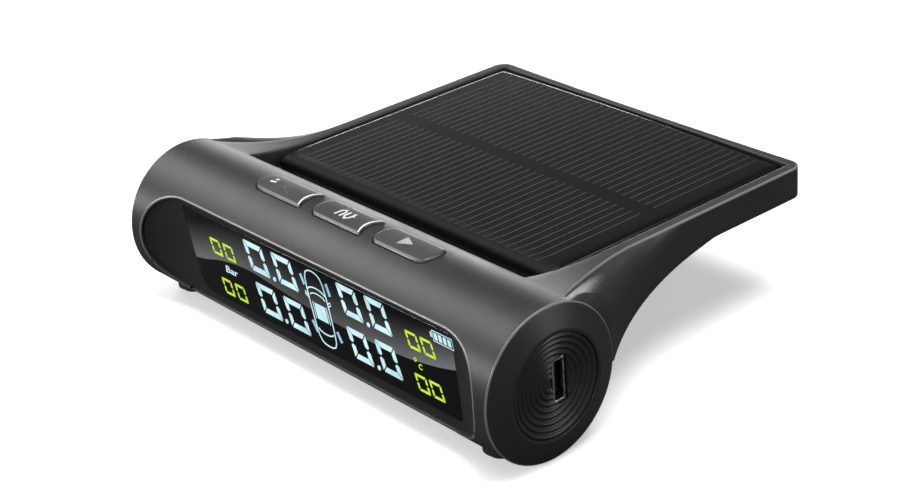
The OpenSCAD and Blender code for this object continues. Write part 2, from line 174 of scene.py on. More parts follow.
def addTo(piece, build):
    # opens a finished piece in mm, adds to it and closes it again
    bm = bmesh.new()
    bm.from_mesh(piece.data)
    bmesh.ops.scale(bm, vec=(1 / mm,) * 3, verts=bm.verts)
    build(bm)
    bmesh.ops.recalc_face_normals(bm, faces=bm.faces)
    bmesh.ops.scale(bm, vec=(mm,) * 3, verts=bm.verts)
    bm.to_mesh(piece.data)
    bm.free()


def applyModifiers(piece):
    bpy.context.view_layer.update()
    solved = piece.evaluated_get(bpy.context.evaluated_depsgraph_get())
    mesh = bpy.data.meshes.new_from_object(solved)
    piece.modifiers.clear()
    piece.data = mesh


def dress(piece, body, material, nodes=(), angle=38, highlightFinish=None):
    piece.data.shade_smooth()
    piece.data.set_sharp_from_angle(angle=math.radians(angle))
    used = [polygon.material_index for polygon in piece.data.polygons]
    piece.data.materials.clear()
    piece.data.materials.append(material)
    # the second finish is a painted highlight on the faces marked for it
    if highlightFinish:
        piece.data.materials.append(highlightFinish)
        piece.data.polygons.foreach_set("material_index", used)
    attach(piece, body)
    if nodes:
        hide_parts(*nodes)
    return piece


def thicken(piece, depth, reach):
    # gives a skin its wall, and keeps the front of it inside the barrel's radius
    shell = piece.modifiers.new("wall", "SOLIDIFY")
    shell.thickness = depth * mm
    shell.offset = -1
    shell.thickness_clamp = 1.0
    applyModifiers(piece)
    for vertex in piece.data.vertices:
        place = vertex.co / mm
        away = Vector((0, place.y, place.z - barrel["axisZ"]))
        if place.y < 0 and away.length > reach:
            away *= reach / away.length
            vertex.co = Vector((place.x, away.y, away.z + barrel["axisZ"])) * mm


def cutWith(piece, cutter):
    cut = piece.modifiers.new("cut", "BOOLEAN")
    cut.operation = "DIFFERENCE"
    cut.solver = "EXACT"
    cut.object = cutter
    applyModifiers(piece)
    mesh = cutter.data
    bpy.data.objects.remove(cutter)
    bpy.data.meshes.remove(mesh)


def roundedRing(halfX, halfY, radii, inset=0.0, steps=8, between=1):
    # outline of a rectangle with its own radius at each corner, as (x, y), anticlockwise
    corners = [(1, 1, 0), (-1, 1, 90), (-1, -1, 180), (1, -1, 270)]
    points = []
    for (sx, sy, start), radius in zip(corners, radii):
        r = max(radius - inset, 0.001)
        cx, cy = sx * (halfX - inset - r), sy * (halfY - inset - r)
        for i in range(steps + 1):
            a = math.radians(start + 90 * i / steps)
            points.append((cx + r * math.cos(a), cy + r * math.sin(a)))
    if between == 1:
        return points
    filled = []
    for k, (x, y) in enumerate(points):
        filled.append((x, y))
        if k % (steps + 1) == steps:
            nx, ny = points[(k + 1) % len(points)]
            filled += [(x + (nx - x) * j / between, y + (ny - y) * j / between) for j in range(1, between)]
    return filled


# shader groups that several finishes share
def newGroup(name, inputs, outputs):
    group = bpy.data.node_groups.new(name, "ShaderNodeTree")
    for socketName, kind, value in inputs:
        socket = group.interface.new_socket(name=socketName, in_out="INPUT", socket_type=kind)
        socket.default_value = value
    for socketName, kind in outputs:
        group.interface.new_socket(name=socketName, in_out="OUTPUT", socket_type=kind)
    return group, group.nodes.new("NodeGroupInput"), group.nodes.new("NodeGroupOutput")


def mathNode(tree, operation, a, b=None, clamp=False):
    node = tree.nodes.new("ShaderNodeMath")
    node.operation = operation
    node.use_clamp = clamp
    for socket, value in zip(node.inputs, (a, b)):
        if value is None:
            continue
        if isinstance(value, (int, float)):
            socket.default_value = value
        else:
            tree.links.new(value, socket)
    return node.outputs[0]


def spread(tree, value, low, high, newLow=0.0, newHigh=1.0):
    node = tree.nodes.new("ShaderNodeMapRange")
    tree.links.new(value, node.inputs["Value"])
    for name, number in (("From Min", low), ("From Max", high), ("To Min", newLow), ("To Max", newHigh)):
        if isinstance(number, (int, float)):
            node.inputs[name].default_value = number
        else:
            tree.links.new(number, node.inputs[name])
    return node.outputs["Result"]


def times(tree, a, b, clamp=False):
    return mathNode(tree, "MULTIPLY", a, b, clamp)


def mixColour(tree, factor, a, b):
    node = tree.nodes.new("ShaderNodeMix")
    node.data_type = "RGBA"
    tree.links.new(factor, node.inputs["Factor"])
    for socket, value in ((node.inputs["A"], a), (node.inputs["B"], b)):
        if isinstance(value, (tuple, list)):
            socket.default_value = (*value[:3], 1)
        else:
            tree.links.new(value, socket)
    return node.outputs["Result"]


def noiseNode(tree, vector, scale, detail=3.0, rough=0.55):
    node = tree.nodes.new("ShaderNodeTexNoise")
    node.inputs["Detail"].default_value = detail
    node.inputs["Roughness"].default_value = rough
    tree.links.new(vector, node.inputs["Vector"])
    if isinstance(scale, (int, float)):
        node.inputs["Scale"].default_value = scale
    else:
        tree.links.new(scale, node.inputs["Scale"])
    return node.outputs["Fac"]


def placeVector(tree):
    return tree.nodes.new("ShaderNodeTexCoord").outputs["Object"]


def makeMouldGrain():
    # spark-eroded mould texture: fine pits with a broad, faint unevenness
    group, given, out = newGroup(
        "mouldGrain",
        [("Scale", "NodeSocketFloat", 4200.0), ("Depth", "NodeSocketFloat", 1.0)],
        [("Height", "NodeSocketFloat"), ("Patch", "NodeSocketFloat")])
    place = placeVector(group)
    pits = noiseNode(group, place, given.outputs["Scale"], 4.0, 0.6)
    cells = group.nodes.new("ShaderNodeTexVoronoi")
    group.links.new(place, cells.inputs["Vector"])
    group.links.new(given.outputs["Scale"], cells.inputs["Scale"])
    rough = times(group, cells.outputs["Distance"], 0.5)
    height = mathNode(group, "ADD", pits, rough)
    group.links.new(times(group, height, given.outputs["Depth"]), out.inputs["Height"])
    broad = noiseNode(group, place, 55.0, 2.0)
    group.links.new(spread(group, broad, 0.3, 0.7), out.inputs["Patch"])
    return group


def makeWearDust():
    # dust that settles on upward faces, and fine scuffs that catch the light
    group, given, out = newGroup(
        "wearDust",
        [("Dust", "NodeSocketFloat", 0.3), ("Scuffs", "NodeSocketFloat", 0.3)],
        [("Dust", "NodeSocketFloat"), ("Scuffs", "NodeSocketFloat")])
    place = placeVector(group)
    normal = group.nodes.new("ShaderNodeSeparateXYZ")
    group.links.new(group.nodes.new("ShaderNodeTexCoord").outputs["Normal"], normal.inputs[0])
    up = spread(group, normal.outputs["Z"], 0.2, 1.0)
    specks = spread(group, noiseNode(group, place, 1500.0, 2.0), 0.52, 0.72)
    clouds = spread(group, noiseNode(group, place, 90.0, 3.0), 0.35, 0.75)
    dust = times(group, times(group, up, clouds), mathNode(group, "ADD", specks, 0.35))
    group.links.new(times(group, dust, given.outputs["Dust"], True), out.inputs["Dust"])
    stretch = group.nodes.new("ShaderNodeMapping")
    stretch.inputs["Scale"].default_value = (160, 1400, 900)
    stretch.inputs["Rotation"].default_value = (0, 0, 0.4)
    group.links.new(place, stretch.inputs["Vector"])
    lines = spread(group, noiseNode(group, stretch.outputs["Vector"], 1.0, 4.0), 0.66, 0.74)
    where = spread(group, noiseNode(group, place, 130.0, 2.0), 0.5, 0.7)
    scuffs = times(group, lines, where)
    group.links.new(times(group, scuffs, given.outputs["Scuffs"], True), out.inputs["Scuffs"])
    return group


def makeBrushing():
    # drawn metal: long streaks along one axis
    group, given, out = newGroup(
        "brushing", [("Stretch", "NodeSocketVector", (200.0, 6000.0, 6000.0))],
        [("Streaks", "NodeSocketFloat"), ("Stain", "NodeSocketFloat")])
    place = placeVector(group)
    scaled = group.nodes.new("ShaderNodeVectorMath")
    scaled.operation = "MULTIPLY"
    group.links.new(place, scaled.inputs[0])
    group.links.new(given.outputs["Stretch"], scaled.inputs[1])
    group.links.new(noiseNode(group, scaled.outputs[0], 1.0, 3.0), out.inputs["Streaks"])
    group.links.new(spread(group, noiseNode(group, place, 420.0, 3.0), 0.35, 0.7), out.inputs["Stain"])
    return group


mouldGrain, wearDust, brushing = makeMouldGrain(), makeWearDust(), makeBrushing()


def useGroup(tree, group, **values):
    node = tree.nodes.new("ShaderNodeGroup")
    node.node_tree = group
    for name, value in values.items():
        node.inputs[name].default_value = value
    return node.outputs


def startMaterial(name, constants):
    material = bpy.data.materials.new(name)
    material.use_nodes = True
    tree = material.node_tree
    shader = tree.nodes["Principled BSDF"]
    for socketName, value in constants.items():
        shader.inputs[socketName].default_value = value
    return material, tree, shader


def feed(tree, shader, colour, rough=None):
    tree.links.new(colour, shader.inputs["Base Color"])
    if rough is not None:
        tree.links.new(rough, shader.inputs["Roughness"])


def addBump(tree, shader, height, distance, strength=1.0):
    bump = tree.nodes.new("ShaderNodeBump")
    bump.inputs["Strength"].default_value = strength
    bump.inputs["Distance"].default_value = distance
    tree.links.new(height, bump.inputs["Height"])
    tree.links.new(bump.outputs["Normal"], shader.inputs["Normal"])


def mouldedPlastic(name, look):
    look = {**plasticCommon, **look}
    constants = {}
    if look["coat"]:
        constants.update({"Coat Weight": look["coat"], "Coat Roughness": look["coatRough"]})
    if look["sheen"]:
        constants.update({"Sheen Weight": look["sheen"], "Sheen Roughness": 0.5})
    material, tree, shader = startMaterial(name, constants)
    grain = useGroup(tree, mouldGrain, Scale=look["grain"], Depth=1.0)
    wear = useGroup(tree, wearDust, Dust=look["dust"], Scuffs=look["scuffs"])
    base = mixColour(tree, grain["Patch"], look["dark"], look["light"])
    dusty = mixColour(tree, wear["Dust"], base, (0.42, 0.4, 0.37))
    worn = mixColour(tree, wear["Scuffs"], dusty, [min(1, c * 2.2 + 0.02) for c in look["light"]])
    low, high = look["rough"] - look["roughRange"], look["rough"] + look["roughRange"]
    gloss = mathNode(tree, "ADD", spread(tree, grain["Patch"], 0, 1, low, high),
                     times(tree, wear["Scuffs"], -0.12), True)
    feed(tree, shader, worn, gloss)
    addBump(tree, shader, grain["Height"], look["bump"] * mm)
    return material


def metalFinish(name, look):
    material, tree, shader = startMaterial(name, {"Metallic": 1.0})
    streak = useGroup(tree, brushing, Stretch=look["stretch"])
    feed(tree, shader, mixColour(tree, streak["Stain"], look["dark"], look["light"]),
         spread(tree, streak["Streaks"], 0.2, 0.8, look["rough"] - 0.1, look["rough"] + 0.1))
    addBump(tree, shader, streak["Streaks"], look["bump"] * mm, 0.6)
    return material


plasticCommon = {"rough": 0.42, "roughRange": 0.03, "grain": 5200.0, "bump": 0.01, "dust": 0.0, "scuffs": 0.1,
                 "coat": 0.0, "coatRough": 0.05, "sheen": 0.0}
plasticLooks = {
    "bodyPlastic": {"dark": (0.021, 0.0215, 0.023), "light": (0.027, 0.0275, 0.029), "bump": 0.012,
                    "dust": 0.04},
    # a much lighter copy of the body plastic, painted onto rounded edges as a highlight
    "paintedHighlightPlastic": {"dark": (0.15, 0.152, 0.155), "light": (0.2, 0.202, 0.206), "rough": 0.3, "bump": 0.006,
                    "dust": 0.04},
    "bezelPlastic": {"dark": (0.01, 0.01, 0.011), "light": (0.014, 0.014, 0.015), "rough": 0.45,
                     "dust": 0.02, "scuffs": 0.08},
    "capPlastic": {"dark": (0.018, 0.018, 0.0195), "light": (0.023, 0.0235, 0.025), "rough": 0.36,
                   "bump": 0.008, "dust": 0.04},
    "basePlastic": {"dark": (0.02, 0.02, 0.022), "light": (0.027, 0.027, 0.029), "rough": 0.5,
                    "roughRange": 0.05, "grain": 3600.0, "bump": 0.018, "dust": 0.08, "scuffs": 0.2},
    "gripRubber": {"dark": (0.014, 0.014, 0.014), "light": (0.022, 0.022, 0.022), "rough": 0.72,
                   "roughRange": 0.06, "grain": 1800.0, "bump": 0.03, "dust": 0.1, "sheen": 0.3},
    "smokedKey": {"dark": (0.05, 0.051, 0.054), "light": (0.062, 0.063, 0.066), "rough": 0.3,
                  "roughRange": 0.04, "grain": 900.0, "bump": 0.002, "dust": 0.03, "scuffs": 0.08,
                  "coat": 0.25, "coatRough": 0.12},
    "plungerPlastic": {"dark": (0.6, 0.58, 0.5), "light": (0.7, 0.68, 0.6), "rough": 0.4, "roughRange": 0.06,
                       "grain": 2400.0},
    "whitePlastic": {"dark": (0.68, 0.68, 0.65), "light": (0.78, 0.78, 0.75), "roughRange": 0.06,
                     "grain": 2600.0},
    "moulding": {"dark": (0.012, 0.012, 0.013), "light": (0.022, 0.022, 0.024), "rough": 0.5,
                 "roughRange": 0.08, "grain": 6200.0, "bump": 0.012, "scuffs": 0.15},
    "nylon": {"dark": (0.74, 0.72, 0.66), "light": (0.84, 0.82, 0.77), "rough": 0.36, "roughRange": 0.06,
              "grain": 2600.0, "bump": 0.008},
    "guidePlastic": {"dark": (0.7, 0.76, 0.77), "light": (0.8, 0.85, 0.85), "rough": 0.2, "roughRange": 0.05,
                     "grain": 1400.0, "bump": 0.004, "coat": 0.5},
    "displayGlass": {"dark": (0.03, 0.045, 0.05), "light": (0.05, 0.065, 0.07), "rough": 0.1,
                     "grain": 1200.0, "bump": 0.001, "scuffs": 0.05, "coat": 1.0, "coatRough": 0.03},
}
finishes = {name: mouldedPlastic(name, look) for name, look in plasticLooks.items()}
metalLooks = {
    "platedSteel": {"dark": (0.42, 0.42, 0.43), "light": (0.62, 0.62, 0.64), "rough": 0.28, "bump": 0.004,
                    "stretch": (9000.0, 9000.0, 700.0)},
    "portSteel": {"dark": (0.5, 0.5, 0.51), "light": (0.7, 0.7, 0.71), "rough": 0.22, "bump": 0.003,
                  "stretch": (600.0, 9000.0, 9000.0)},
    "goldFlash": {"dark": (0.66, 0.46, 0.16), "light": (0.82, 0.62, 0.28), "rough": 0.26, "bump": 0.003,
                  "stretch": (8000.0, 8000.0, 900.0)},
    "copperWire": {"dark": (0.45, 0.17, 0.06), "light": (0.72, 0.32, 0.14), "rough": 0.24, "bump": 0.004,
                   "stretch": (9000.0, 9000.0, 12000.0)},
}
finishes.update({name: metalFinish(name, look) for name, look in metalLooks.items()})


def circuitBoard(name, mask, track, pad=(0.62, 0.55, 0.34)):
    # solder mask over tracks: a lattice of lines at two pitches, with a few pads
    material, tree, shader = startMaterial(name, {"Coat Weight": 0.6, "Coat Roughness": 0.12})
    place = placeVector(tree)
    weave = tree.nodes.new("ShaderNodeTexBrick")
    for socketName, value in (("Scale", 260.0), ("Mortar Size", 0.035), ("Brick Width", 0.9),
                              ("Row Height", 0.35)):
        weave.inputs[socketName].default_value = value
    turned = tree.nodes.new("ShaderNodeMapping")
    turned.inputs["Rotation"].default_value = (math.radians(90), 0, math.radians(3))
    tree.links.new(place, turned.inputs["Vector"])
    tree.links.new(turned.outputs["Vector"], weave.inputs["Vector"])
    dots = tree.nodes.new("ShaderNodeTexVoronoi")
    dots.inputs["Scale"].default_value = 620.0
    tree.links.new(place, dots.inputs["Vector"])
    pads = spread(tree, dots.outputs["Distance"], 0.16, 0.1)
    tracks = mixColour(tree, weave.outputs["Fac"], mask, track)
    grain = useGroup(tree, mouldGrain, Scale=3000.0, Depth=0.4)
    raised = mathNode(tree, "ADD", times(tree, weave.outputs["Fac"], 0.6), grain["Height"])
    feed(tree, shader, mixColour(tree, pads, tracks, pad), spread(tree, grain["Patch"], 0, 1, 0.26, 0.4))
    addBump(tree, shader, raised, 0.012 * mm)
    return material


def softGlow(name, colour, strength, dark=0.78):
    # lit segments: a little uneven, as a backlight is
    material, tree, shader = startMaterial(name, {"Emission Strength": strength, "Roughness": 0.2})
    place = placeVector(tree)
    uneven = spread(tree, noiseNode(tree, place, 260.0, 2.0), 0.3, 0.7)
    shade = mixColour(tree, uneven, tuple(c * dark for c in colour), colour)
    tree.links.new(shade, shader.inputs["Emission Color"])
    feed(tree, shader, mixColour(tree, uneven, [c * 0.25 for c in colour], [c * 0.35 for c in colour]))
    return material


def sleeve(name, colour, rough, bands):
    # shrink sleeve or lead insulation, with faint ripples round it
    material, tree, shader = startMaterial(name, {"Coat Weight": 0.4, "Coat Roughness": 0.15})
    place = placeVector(tree)
    wave = tree.nodes.new("ShaderNodeTexWave")
    wave.inputs["Scale"].default_value = bands
    wave.inputs["Distortion"].default_value = 2.0
    tree.links.new(place, wave.inputs["Vector"])
    patch = spread(tree, noiseNode(tree, place, 160.0, 3.0), 0.3, 0.7)
    feed(tree, shader, mixColour(tree, patch, [c * 0.75 for c in colour], colour),
         spread(tree, patch, 0, 1, rough - 0.05, rough + 0.08))
    addBump(tree, shader, wave.outputs["Fac"], 0.02 * mm, 0.5)
    return material


finishes["greenBoard"] = circuitBoard("greenBoard", (0.012, 0.10, 0.035), (0.02, 0.17, 0.06))
finishes["blackBoard"] = circuitBoard("blackBoard", (0.004, 0.004, 0.0045), (0.008, 0.008, 0.009),
                                      (0.012, 0.012, 0.013))
finishes["cellSleeve"] = sleeve("cellSleeve", (0.05, 0.16, 0.38), 0.3, 40.0)
finishes["leadSleeve"] = sleeve("leadSleeve", (0.42, 0.02, 0.02), 0.32, 500.0)
finishes["iceLight"] = softGlow("iceLight", (0.60, 0.86, 0.93), 0.95)
finishes["wheelLight"] = softGlow("wheelLight", (0.30, 0.58, 0.85), 0.9)
finishes["limeLight"] = softGlow("limeLight", (0.56, 0.84, 0.05), 0.95)
finishes["lampPhosphor"] = softGlow("lampPhosphor", (0.95, 0.86, 0.4), 0.25)
print("finishes made:", len(finishes))

# housing
housingShape = {
    "straightSteps": 30,
    "endSteps": 54,       # stations round each end of the display opening
    "skinRows": 20,
    "lipRound": 0.36,     # softness of the lip's outer edge
    "lipTurn": 1.95,      # angle where the lip starts to run into the seam
    "lipShare": 0.17,     # part of the lip that faces the line where the wing begins
    "backHigh": -88,      # the barrel's back starts here under the wing, in degrees from the top
    "strip": ((12.5, 0), (13.3, 0), (14.05, 0), (14.15, 0.1), (14.15, 1.35)),   # y and lift
    "wall": 0.4,
    "backDepth": 2.1,     # how far the opening's wall runs in behind the lip
    "sideSteps": 74,
    "cornerSteps": 10,
    "rearSteps": 26,
    "rimBow": 0.45,       # the rear rim bows in a little at its middle
    "edge": 0.34,
    "bottomEdge": 0.4,
    "rimWidth": 1.75,
    "lipHighlightColumns": (8, 13),      # profile columns given the painted highlight along the lip
    "ridgeHighlightColumns": (11, 15),   # and along the wing's ridge
}


def faceYAt(x):
    d = abs(x) - barrel["faceHalf"]
    if d <= 0:
        return barrel["faceY"]
    return barrel["faceY"] - barrel["faceR"] + math.sqrt(max(barrel["faceR"] ** 2 - d * d, 0))


def faceNormal(x):
    d = min(max(abs(x) - barrel["faceHalf"], 0), barrel["faceR"])
    side = math.copysign(1, x)
    return Vector((-side * d, -math.sqrt(barrel["faceR"] ** 2 - d * d), 0)) / barrel["faceR"]


def lipX(angle):
    # half width of the display opening at an angle round the barrel
    reach = barrel["faceR"] - barrel["faceY"] - barrel["radius"] * math.sin(angle)
    return barrel["faceHalf"] + math.sqrt(max(barrel["faceR"] ** 2 - reach * reach, 0))


lipAngle = math.asin(-barrel["faceY"] / barrel["radius"])
seamAngle = math.acos((barrel["seamZ"] - barrel["axisZ"]) / barrel["radius"])
trayAngle = -math.asin((tray["front"] - tray["edge"]) / barrel["radius"])
ridgeAngle = -math.asin(wing["frontY"] / barrel["radius"])
trayEdgeX = tray["half"] + tray["edge"]
ridgeFrontX = wing["half"] + wing["ridgeFlare"]
marginSteps, ridgeRoundSteps, fanSteps = 5, 4, 22
fanRamp = [0, 0.03, 0.06, 0.09] + [0.09 + 0.91 * (k / (fanSteps - 3)) ** 1.15 for k in range(1, fanSteps - 2)]


def firstRow():
    # the line on the barrel's skin where the wing's margin and ridge begin, out to the end
    inner = Vector((trayEdgeX, trayAngle, 0))
    ridgeIn = Vector((ridgeFrontX - housingShape["edge"], ridgeAngle, 0))
    ridgeOut = Vector((ridgeFrontX, ridgeAngle, 0))
    points = [inner.lerp(ridgeIn, k / marginSteps) for k in range(marginSteps)]
    points += [ridgeIn.lerp(ridgeOut, k / ridgeRoundSteps) for k in range(ridgeRoundSteps)]
    end = Vector((barrel["half"], ridgeAngle, 0))
    points += [ridgeOut.lerp(end, t / fanRamp[3]) for t in fanRamp[:4]]
    return points


def skinStations():
    # pairs of (lip, outer) places as x and angle, for one half
    shape = housingShape
    pairs = []
    for k in range(shape["straightSteps"]):
        u = k / shape["straightSteps"]
        pairs.append(((barrel["faceHalf"] * u, lipAngle), (trayEdgeX * u, trayAngle)))
    quarter = [lipAngle + (math.pi / 2 - lipAngle) * (k / 60) ** 2 for k in range(61)]
    angles = quarter + [math.pi - a for a in reversed(quarter[:-1]) if math.pi - a < seamAngle] + [seamAngle]
    dense = [Vector((lipX(a), a * barrel["radius"], 0)) for a in angles]
    first = firstRow()
    rim = [Vector((barrel["half"], ridgeAngle + (seamAngle - ridgeAngle) * k / shape["endSteps"], 0))
           for k in range(1, shape["endSteps"] + 1)]
    outer = first + rim
    lip = resample(dense, 400)
    share = shape["lipShare"]
    for k, place in enumerate(outer):
        if k < len(first):
            u = share * (place.x - first[0].x) / (first[-1].x - first[0].x)
        else:
            u = share + (1 - share) * (k - len(first) + 1) / shape["endSteps"]
        at = u * 399
        p = lip[int(at)].lerp(lip[min(int(at) + 1, 399)], at - int(at))
        pairs.append(((p.x, p.y / barrel["radius"]), (place.x, place.y)))
    return pairs


def skinProfile(pairs, k, side):
    shape = housingShape
    (lx, la), (ox, oa) = pairs[k]
    edge = onBarrel(lx, la)
    before, after = pairs[max(k - 1, 0)][0], pairs[min(k + 1, len(pairs) - 1)][0]
    along = (onBarrel(*after) - onBarrel(*before)).normalized()
    radial = Vector((0, edge.y, edge.z - barrel["axisZ"])).normalized()
    forward = faceNormal(lx)
    inward = along.cross(forward).normalized()
    if inward.dot(radial) > 0:
        inward.negate()
    away = along.cross(radial).normalized()
    if away.dot(inward) > 0:
        away.negate()
    # at its lower ends the lip runs into the seam, so its edge is drawn along the seam there
    late = smooth((la - shape["lipTurn"]) / (seamAngle - shape["lipTurn"]))
    away = away.lerp(Vector((1, 0, 0)), late).normalized()
    lipIn = edge + inward * barrel["lip"]
    points = [lipIn - forward * shape["backDepth"], lipIn - forward * 1.0, lipIn - forward * 0.3]
    points += curve2(lipIn - forward * 0.12, lipIn, lipIn - inward * 0.1, 3)
    points += curve2(edge + inward * 0.2, edge, edge + away * shape["lipRound"], 7)
    start = edge + away * shape["lipRound"]
    startAngle = math.atan2(-start.y, start.z - barrel["axisZ"])
    for row in range(1, shape["skinRows"] + 1):
        u = (row / shape["skinRows"]) ** 1.25 if row < shape["skinRows"] else 1
        points.append(onBarrel(start.x + (ox - start.x) * u, startAngle + (oa - startAngle) * u))
    return [Vector((side * p.x, p.y, p.z)) for p in points]


def marginZ(y, startY):
    # height of the wing's rim: it leaves the barrel's skin and settles to the flat top
    startZ = barrel["axisZ"] + math.sqrt(barrel["radius"] ** 2 - startY ** 2)
    u = min(max((22 - y) / (22 - startY), 0), 1)
    return wing["top"] + (startZ - wing["top"]) * u ** 2.2


def underZ(y):
    return wing["bottom"] - max(wing["slopeY"] - y, 0) * wing["slope"]


def ridgeX(y):
    u = max((wing["ridgeY"] - y) / (wing["ridgeY"] - wing["frontY"]), 0)
    return wing["half"] + wing["ridgeFlare"] * u * u


def sweepX(y):
    d = max(wing["sweepY"] - y, 0)
    return wing["half"] + wing["sweepR"] - math.sqrt(wing["sweepR"] ** 2 - d * d)


def outwardOf(curve, y):
    slope = (curve(y + 0.05) - curve(y - 0.05)) / 0.1
    return Vector((1, -slope, 0)).normalized()


def ringStations():
    # places round one half of the wing: tray wall, tray edge, ridge, outward, foot of the side, its outward
    shape = housingShape
    rearY, cornerY = wing["rearY"], wing["rearY"] - wing["cornerR"]
    stations = []
    for k in range(1, shape["sideSteps"] + 1):
        u = k / shape["sideSteps"]
        u = 0.55 * u + 0.45 * u * u
        yr = wing["frontY"] + (cornerY - wing["frontY"]) * u
        yi = tray["front"] + (cornerY - tray["front"]) * u
        fade = max(1 - (yr - wing["frontY"]) / 32, 0)
        yb = yr + (wing["endBottomY"] - wing["frontY"]) * fade * fade * (3 - 2 * fade)
        rimZ = marginZ(yi, tray["front"] - tray["edge"])
        stations.append((Vector((tray["half"], yi, rimZ)), Vector((trayEdgeX, yi, rimZ)),
                         Vector((ridgeX(yr), yr, marginZ(yr, wing["frontY"]))), outwardOf(ridgeX, yr),
                         Vector((sweepX(yb), yb, underZ(yb))), outwardOf(sweepX, yb)))
    innerC = Vector((tray["half"] - tray["cornerR"], tray["rear"] - tray["cornerR"], wing["top"]))
    outerC = Vector((wing["half"] - wing["cornerR"], cornerY, wing["top"]))
    for k in range(1, shape["cornerSteps"] + 1):
        a = math.pi / 2 * k / shape["cornerSteps"]
        out = Vector((math.cos(a), math.sin(a), 0))
        ridge = outerC + out * wing["cornerR"]
        wall = innerC + out * tray["cornerR"]
        stations.append((wall, wall + out * tray["edge"], ridge, out,
                         Vector((ridge.x, ridge.y, wing["bottom"])), out))
    out = Vector((0, 1, 0))
    for k in range(1, shape["rearSteps"] + 1):
        u = 1 - k / shape["rearSteps"]
        ridge = Vector((outerC.x * u, rearY - shape["rimBow"] * (1 - u * u), wing["top"]))
        wall = Vector((innerC.x * u, tray["rear"], wing["top"]))
        stations.append((wall, wall + out * tray["edge"], ridge, out,
                         Vector((ridge.x, ridge.y, wing["bottom"])), out))
    return stations


def trayEdgeRows(wallTop, edgeTop):
    # from the tray's floor up its wall and over the softened edge
    wall = Vector((wallTop.x, wallTop.y, edgeTop.z - tray["edge"]))
    floor = Vector((wallTop.x, wallTop.y, tray["floor"]))
    corner = Vector((wallTop.x, wallTop.y, edgeTop.z))
    return [floor, floor.lerp(wall, 0.5)] + curve2(wall, corner, edgeTop, 4)[:-1]


def underRows(foot, out):
    shape = housingShape
    up = Vector((0, 0, 1))
    rows = curve2(foot + up * shape["bottomEdge"], foot, foot - out * shape["bottomEdge"], 4)
    inner = foot - out * shape["rimWidth"]
    return rows + [inner, inner + up * 1.35]


def ringProfile(station, side):
    shape = housingShape
    wallTop, edgeTop, ridge, out, foot, footOut = station
    points = trayEdgeRows(wallTop, edgeTop)
    ridgeIn = ridge - out * shape["edge"]
    points += [edgeTop.lerp(ridgeIn, k / marginSteps) for k in range(marginSteps)]
    down = Vector((0, 0, -1))
    low = ridge + down * shape["edge"]
    points += curve2(ridgeIn, ridge, low, ridgeRoundSteps)[:-1]
    reach = Vector((foot.x - ridge.x, foot.y - ridge.y, 0))
    height = ridge.z - foot.z
    flare = min(reach.length / 4, 1)
    pullA = low + reach * 0.98 + down * (0.12 * height * (1 - flare) + 0.25 * flare)
    foot2 = foot + Vector((0, 0, shape["bottomEdge"]))
    pullB = foot2 + Vector((0, 0, height * (0.5 + 0.28 * flare)))
    points += [curve3(low, pullA, pullB, foot2, t) for t in fanRamp]
    points += underRows(foot, footOut)[1:]
    return [Vector((side * p.x, p.y, p.z)) for p in points]


def endProfile(side):
    # where the wing's side meets the barrel's end circle, behind the cap's rim
    first = [onBarrel(p.x, p.y) for p in firstRow()]
    wallTop = Vector((tray["half"], tray["front"], 0))
    points = trayEdgeRows(wallTop, first[0]) + first[:-1]
    endZ = underZ(wing["endBottomY"]) + housingShape["bottomEdge"] - barrel["axisZ"]
    last = -math.atan2(math.sqrt(barrel["radius"] ** 2 - endZ ** 2), endZ)
    for t in fanRamp[3:]:
        u = (t - fanRamp[3]) / (1 - fanRamp[3])
        points.append(onBarrel(barrel["half"], ridgeAngle + (last - ridgeAngle) * u))
    foot = Vector((barrel["half"], points[-1].y, points[-1].z - housingShape["bottomEdge"]))
    points += underRows(foot, Vector((0.8, 0.6, 0)))[1:]
    return [Vector((side * p.x, p.y, p.z)) for p in points]


def buildHousing():
    bm = bmesh.new()
    shape = housingShape
    pairs = skinStations()
    fromAxis = lambda p: Vector((0, p.y, p.z - barrel["axisZ"]))
    for side in (-1, 1):
        rows = [skinProfile(pairs, k, side) for k in range(len(pairs))]
        addGrid(bm, rows, fromAxis, edge=shape["lipHighlightColumns"])
        front = []
        for k in range(shape["straightSteps"] + 1):
            edgeTop = rows[k][-1]
            wallTop = Vector((edgeTop.x * tray["half"] / trayEdgeX, tray["front"], 0))
            front.append(trayEdgeRows(wallTop, edgeTop) + [edgeTop])
        addGrid(bm, front, (0, 1, 1))
        ring = [endProfile(side)] + [ringProfile(s, side) for s in ringStations()]
        addGrid(bm, ring, lambda p: Vector((side, 0, 0.3)) if p.z < wing["top"] else Vector((0, 0, 1)),
                edge=shape["ridgeHighlightColumns"])
    cleanMesh(bm)
    rim = [e for e in bm.edges if e.is_boundary and all(abs(v.co.z - tray["floor"]) < 0.01 for v in e.verts)]
    bmesh.ops.contextual_create(bm, geom=rim)
    bmesh.ops.recalc_face_normals(bm, faces=bm.faces)
    top = min(bm.faces, key=lambda f: (f.calc_center_median() - Vector((0, 0, 26))).length)
    if top.normal.z < 0:
        bmesh.ops.reverse_faces(bm, faces=bm.faces)
    # back of the barrel under the wing, and the strip that the wing's cover meets
    high = math.radians(shape["backHigh"])
    back = [[onBarrel(barrel["half"] * (k / 30 - 1), high + (-seamAngle - high) * j / 12) for j in range(13)]
            for k in range(61)]
    addGrid(bm, back, fromAxis)
    stripHalf = barrel["half"] - 2.6
    strip = [[Vector((stripHalf * (k / 20 - 1), y, underZ(y) + 0.02 + lift)) for y, lift in shape["strip"]]
             for k in range(41)]
    addGrid(bm, strip, (0, 0, -1))
    shell = newObject("housingShell", bm)
    thicken(shell, shape["wall"], barrel["radius"])
    return shell


